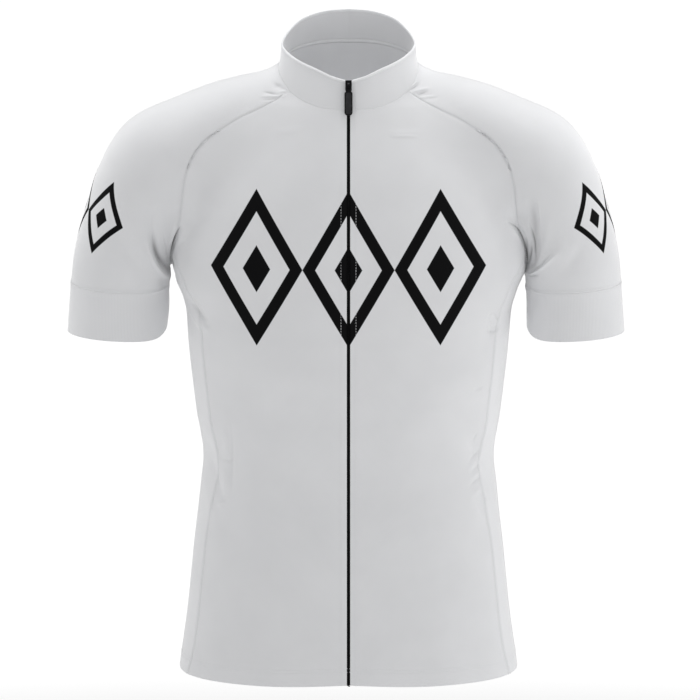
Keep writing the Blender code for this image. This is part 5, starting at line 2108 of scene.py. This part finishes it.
# %% Set the stitches and the coil
STITCH_PITCH = 2.9
STITCH_LENGTH = 2.3
STITCH_UNEVENNESS = 0.12
THREAD_RADIUS = 0.2
COIL_PITCH = 1.3
COIL_LOOP_WIDTH = 2.1
COIL_LOOP_RADIUS = 0.66
COIL_SINK = 0.55

stitches = {}
for seed, (name, found) in enumerate(rows.items()):
    stitches[name] = set_along(
        "stitches_" + name,
        STITCH_TREE,
        found,
        Pitch=STITCH_PITCH * MM,
        Length=STITCH_LENGTH * MM,
        Radius=THREAD_RADIUS * MM,
        Unevenness=STITCH_UNEVENNESS,
        Seed=seed,
        Material=finishes["thread"],
    )

coil_line = (zip_line - COIL_SINK * zip_normals) * UPRIGHT
coil = set_along(
    "coil_loops",
    COIL_TREE,
    [coil_line],
    Pitch=COIL_PITCH * MM,
    Length=COIL_LOOP_WIDTH * MM,
    Radius=COIL_LOOP_RADIUS * MM,
    Unevenness=0.0,
    Seed=0,
    Material=finishes["coil"],
)
print("stitch faces:", sum(len(piece.data.polygons) for piece in stitches.values()))
print("coil faces:", len(coil.data.polygons))

# %% [markdown]
# The pull tab is a solid that swings on the slider, and keeps its own shape. On its front
# lies a plate of softer grey, held in the tab's raised border. The plate is laid out on the
# tab's own plane, found from the joint's pivot and the lean of the collar's zip edge.

# %% The tab's face
TAB_LINK_LENGTH = 6.8
TAB_LENGTH = 24
TAB_WIDTH = 8
TAB_THICKNESS = 1.2
TAB_SWING_DEG = 3
FACE_BORDER = 1.1
FACE_PROUD = 0.15
FACE_ROUND = 2
FACE_SHARP_DEG = 40
CORNER_STEPS = 6
# Each ring of the plate, from its sunk foot to its top: how far in it lies, and how high.
FACE_RINGS = ((0, -0.3), (0, 0), (0.25, FACE_PROUD), (0.9, FACE_PROUD + 0.08))


def tab_plane():
    """The tab's pivot and its own axes, in millimetres: across, up it and out of it."""
    foot, top = grids["collar"][0, 0], grids["collar"][-1, 0]
    lean = math.atan2(top[2] - foot[2], top[1] - foot[1]) - math.radians(TAB_SWING_DEG)
    pivot = np.array(frame["joints"][0]["pos_m"]) / MM
    up = np.array([0, math.cos(lean), math.sin(lean)])
    return pivot, np.array([1.0, 0, 0]), up, np.array([0, -up[2], up[1]])


def rounded_outline(half_width, low, high, radius):
    """A rectangle with round corners, once round."""
    points = []
    for x, y, start in ((1, 1, 0), (-1, 1, 90), (-1, -1, 180), (1, -1, 270)):
        level = (high if y > 0 else low) - y * radius
        centre = np.array([x * (half_width - radius), level])
        for angle in np.radians(np.linspace(start, start + 90, CORNER_STEPS + 1)):
            points.append(centre + radius * np.array([math.cos(angle), math.sin(angle)]))
    return np.array(points)


def add_tab_face():
    """The plate, built up in rings that step in at its edge."""
    pivot, across, up, out = tab_plane()
    high = -TAB_LINK_LENGTH - FACE_BORDER
    low = -TAB_LINK_LENGTH - TAB_LENGTH + FACE_BORDER
    half_width = TAB_WIDTH / 2 - FACE_BORDER
    rings = []
    for inset, lift in FACE_RINGS:
        ring = rounded_outline(half_width - inset, low + inset, high - inset, FACE_ROUND - inset)
        height = TAB_THICKNESS / 2 + lift
        rings.append(pivot + ring[:, :1] * across + ring[:, 1:] * up + height * out)
    count = len(rings[0])
    faces = quad_faces(len(rings), count, True)
    faces += [tuple(range(count)), tuple(range((len(rings) - 1) * count, len(rings) * count))]
    mesh = bpy.data.meshes.new("tab_face")
    mesh.from_pydata((np.vstack(rings) * MM).tolist(), [], faces)
    face = finished_mesh("tab_face", mesh)
    face.data.set_sharp_from_angle(angle=math.radians(FACE_SHARP_DEG))
    return face


tab_face = add_tab_face()
print("tab face corners:", len(tab_face.data.vertices))

# %% [markdown]
# ## The sleeves' print and the pleats
#
# The chain on a sleeve runs round the arm. Each point of the sleeve's mesh is given its place
# round and down the sleeve, as an attribute, and the print on it reads that.

# %% Place the print on the sleeves
TURN_LENGTH = 50


def add_print_place(piece, cloth):
    """How far each point is round the sleeve from its outer side, and above the print."""
    along, out, forward = sleeve_place(cloth.points)
    middle = np.interp(-SLEEVE_PRINT.middle_z, -SLEEVE_LINE[:, 1], SLEEVE_ALONG)
    round_arm = np.arctan2(forward, out) * TURN_LENGTH
    place = np.stack([round_arm, middle - along, np.zeros_like(along)], axis=-1) * MM
    layer = piece.data.attributes.new("print_place", "FLOAT_VECTOR", "POINT")
    layer.data.foreach_set("vector", place.astype(np.float32).ravel())


for side in SIDES:
    name = "raglan_sleeve_" + side
    add_print_place(pieces[name], cloths[name])
print("print's middle on the sleeves, mm:", SLEEVE_PRINT.middle_z)

# %% [markdown]
# The pleats are pressed in last. A panel's thickness is made real first, and the faces beside
# each pleat are cut smaller, so that only they carry more points. Stitches that cross a pleat
# are pressed with it. How deep in a pleat each point lies goes on the mesh too, since little
# light reaches there, and the finish paints the knit darker by it, as painted shade.

# %% Press the pleats in
PLEATED = ("front_panel", "side_panel", "raglan_sleeve", "back_panel", "cuff_band")
PLEAT_CUTS = 2
SLEEVE_CUTS = 1
PLEAT_LEAST = 0.001
# How deep a pleat is where its painted shade is darkest.
PLEAT_DARKEST = 3.4


def cut_finer(piece, cuts):
    """Fixes a piece's thickness and cuts the faces beside the pleats into smaller ones."""
    graph = bpy.context.evaluated_depsgraph_get()
    mesh = bpy.data.meshes.new_from_object(piece.evaluated_get(graph))
    piece.modifiers.clear()
    piece.data = mesh
    points = np.array([vertex.co for vertex in mesh.vertices]) / MM
    near = np.zeros(len(points), bool)
    crease_height(points, PLEATS, near)
    work = bmesh.new()
    work.from_mesh(mesh)
    work.verts.ensure_lookup_table()
    beside = [work.verts[index] for index in np.flatnonzero(near)]
    edges = list({edge for vertex in beside for edge in vertex.link_edges})
    if edges:
        edges.sort(key=lambda edge: edge.index)
        bmesh.ops.subdivide_edges(work, edges=edges, cuts=cuts, use_grid_fill=True)
    work.to_mesh(mesh)
    work.free()
    mesh.shade_smooth()


def press_in(piece):
    """Presses the pleats into a piece, and notes how deep in one each point lies, for the shade
    that the finish paints there.
    """
    mesh = piece.data
    points = np.array([vertex.co for vertex in mesh.vertices]) / MM
    height = crease_height(points, PLEATS)
    moved = np.abs(height) > PLEAT_LEAST
    if not moved.any():
        return
    points[moved] += height[moved, None] * unit(body_slope(points[moved]))
    mesh.vertices.foreach_set("co", (points * MM).astype(np.float32).ravel())
    # Painted shade: the finish darkens the knit by this share.
    add_number(mesh, "pleat_depth", np.clip(-height / PLEAT_DARKEST, 0, 1) ** 2)
    mesh.update()


for name, piece in pieces.items():
    if name.startswith(PLEATED):
        cut_finer(piece, SLEEVE_CUTS if name.startswith("raglan") else PLEAT_CUTS)
        press_in(piece)
        press_in(stitches[name])
print("cloth faces now:", sum(len(piece.data.polygons) for piece in pieces.values()))

# %% [markdown]
# ## Dressing the frame
#
# Every piece now takes its finish, rides on its body, and stands for the solid that it
# covers. Those that stand for no solid, such as the stitches, only ride on the body.

# %% Finish, ride and replace
Role = namedtuple("Role", "finish slot solid")
ROLES = {
    "back_panel": Role("plain", "knit", "back"),
    "stand_collar": Role("plain", "knit", "collar"),
    "rear_pocket_panel": Role("plain", "knit", "rear_pocket"),
    "neck_tape": Role("binding", "knit", None),
}
for side in SIDES:
    ROLES["front_panel_" + side] = Role("chest", "knit", "front_" + side)
    ROLES["side_panel_" + side] = Role("side", "side_knit", "side_" + side)
    ROLES["raglan_sleeve_" + side] = Role("sleeve", "knit", "sleeve_" + side)
    ROLES["cuff_band_" + side] = Role("cuff", "cuff_knit", "cuff_" + side)
    ROLES["coil_tape_" + side] = Role("zip_tape", "zip_tape", "zip_tape_" + side)


def dress(piece, finish, body="jersey", solid=None):
    if finish is not None:
        piece.data.materials.clear()
        piece.data.materials.append(finishes[finish])
    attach(piece, body)
    if solid is not None:
        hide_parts(solid)


for name, role in ROLES.items():
    dress(pieces[name], role.finish, solid=role.solid)
for piece in stitches.values():
    dress(piece, None)
dress(binding, "binding")
dress(coil, None, solid="zip_chain")
dress(tab_face, "tab_face", body="pull_tab")
for name in ("zip_slider", "zip_pull_tab"):
    for place in frame["nodes"][name].material_slots:
        place.material = finishes["metal"]
print("pieces:", len(pieces) + len(stitches) + 3)

# %% [markdown]
# Each cloth piece's flat size is its greatest width and length, measured along its own rows
# and columns, which is how a maker would lay it out to cut. A sleeve is widest once round
# under the arm. The narrow trims and the thread are gathered with the piece that carries them.

# %% State each sheet's cut


def flat_size(cloth):
    """A piece's greatest width and length, and its area, laid flat, in metres."""
    across = running_lengths(cloth.points, 1, cloth.closed).max() * MM
    down = running_lengths(cloth.points, 0).max() * MM
    points = cloth.points
    if cloth.closed:
        points = np.concatenate([points, points[:, :1]], axis=1)
    diagonal = points[1:, 1:] - points[:-1, :-1]
    other = points[1:, :-1] - points[:-1, 1:]
    area = np.linalg.norm(np.cross(diagonal, other), axis=-1).sum() / 2 * MM**2
    return across, down, area


trims = {"stand_collar": [binding, pieces["neck_tape"]]}
for side in SIDES:
    trims["front_panel_" + side] = [pieces["coil_tape_" + side]]
for name, cloth in cloths.items():
    if name.startswith(("neck_tape", "coil_tape")):
        continue
    width, length, area = flat_size(cloth)
    if name.startswith("raglan_sleeve"):
        width = ring_length(UNDERARM_Z) * MM
    with_it = trims.get(name, []) + [stitches[name]]
    held_by = ["back_panel"] if name == "rear_pocket_panel" else []
    print(f"{name}: {width:.3f} by {length:.3f} m, {area:.4f} square metres")

# %% [markdown]
# ## The studio
#
# The jersey hangs in a white room. The floor is far below. Only its far part glows, so that
# it runs into the white behind and throws little light up from underneath.

# %% Floor
FLOOR_Z = -1.5
FLOOR_HALF_SIZE = 40
FLOOR_GLOW = 0.555
GLOW_START = 3.0
GLOW_FULL = 4.2
SPECKLE_SCALE = 3

floor_mesh = bpy.data.meshes.new("floor")
corners = [(-1, -1), (1, -1), (1, 1), (-1, 1)]
floor_mesh.from_pydata(
    [(x * FLOOR_HALF_SIZE, y * FLOOR_HALF_SIZE, FLOOR_Z) for x, y in corners], [], [(0, 1, 2, 3)]
)
floor = new_object("floor", floor_mesh)
floor_finish, shop = new_finish("pale_floor")
speckle = clouds(shop, SPECKLE_SCALE)
place = shop.add("ShaderNodeTexCoord", output="Object")
away = shop.add("ShaderNodeVectorMath", {"operation": "LENGTH"}, [place], output="Value")
glow = ((away - GLOW_START) / (GLOW_FULL - GLOW_START)).within()
floor_values = {
    "Base Color": shop.mix(speckle, (0.9, 0.9, 0.9, 1), (0.93, 0.93, 0.93, 1)),
    "Roughness": 0.9,
    "Emission Color": shop.mix(glow * glow * (3 - 2 * glow), (0, 0, 0, 1), (1, 1, 1, 1)),
    "Emission Strength": FLOOR_GLOW,
}
shader = shop.add("ShaderNodeBsdfPrincipled", None, floor_values)
shop.add("ShaderNodeOutputMaterial", None, {"Surface": shader})
floor.data.materials.append(floor_finish)

# %% [markdown]
# The light comes mostly from above, from both sides and from behind, so that the shoulders
# and flanks are bright and the front is a soft grey, a little lighter on the right. Thin
# white cloth also lets light through, which brightens the inside of the neck: a small lamp
# inside the body stands in for that, at a fraction of a watt.

# %% Light
WORLD_STRENGTH = 0.545
world = bpy.data.worlds.new("studio")
bpy.context.scene.world = world
world.use_nodes = True
shop = Workshop(world.node_tree)
glow = shop.add("ShaderNodeBackground", None, [(1, 1, 1, 1), WORLD_STRENGTH])
shop.add("ShaderNodeOutputWorld", None, {"Surface": glow})

Lamp = namedtuple("Lamp", "name place power size")
LAMPS = [
    Lamp("above", (0, 0.5, 2.6), 47, 1.6),
    Lamp("flank_right", (-2.6, 0.5, 0), 6, 1.4),
    Lamp("flank_left", (2.6, 0.5, 0), 5.8, 1.4),
    Lamp("side_left", (2.6, -1, 0.3), 6, 1.4),
    Lamp("low_left", (2.4, -0.6, -1.1), 6, 1.2),
    Lamp("back_left", (2.2, 1.8, 0.8), 3, 1.2),
    Lamp("back_right", (-2.2, 1.8, 0.8), 3, 1.2),
]
LAMP_TARGET = Vector((0, 0, -0.25))
for lamp in LAMPS:
    light = bpy.data.lights.new(lamp.name, "AREA")
    light.energy = lamp.power
    light.size = lamp.size
    holder = new_object(lamp.name, light)
    holder.location = lamp.place
    holder.rotation_euler = (LAMP_TARGET - holder.location).to_track_quat("-Z", "Y").to_euler()

INSIDE_PLACE = (0, -0.01, -0.15)
INSIDE_POWER = 0.2
INSIDE_RADIUS = 0.05
inside = bpy.data.lights.new("inside", "POINT")
inside.energy = INSIDE_POWER
inside.shadow_soft_size = INSIDE_RADIUS
holder = new_object("inside", inside)
holder.location = INSIDE_PLACE
holder.visible_camera = False
bpy.context.scene.view_settings.view_transform = "Standard"
print("lamps:", len(LAMPS) + 1)

# %% [markdown]
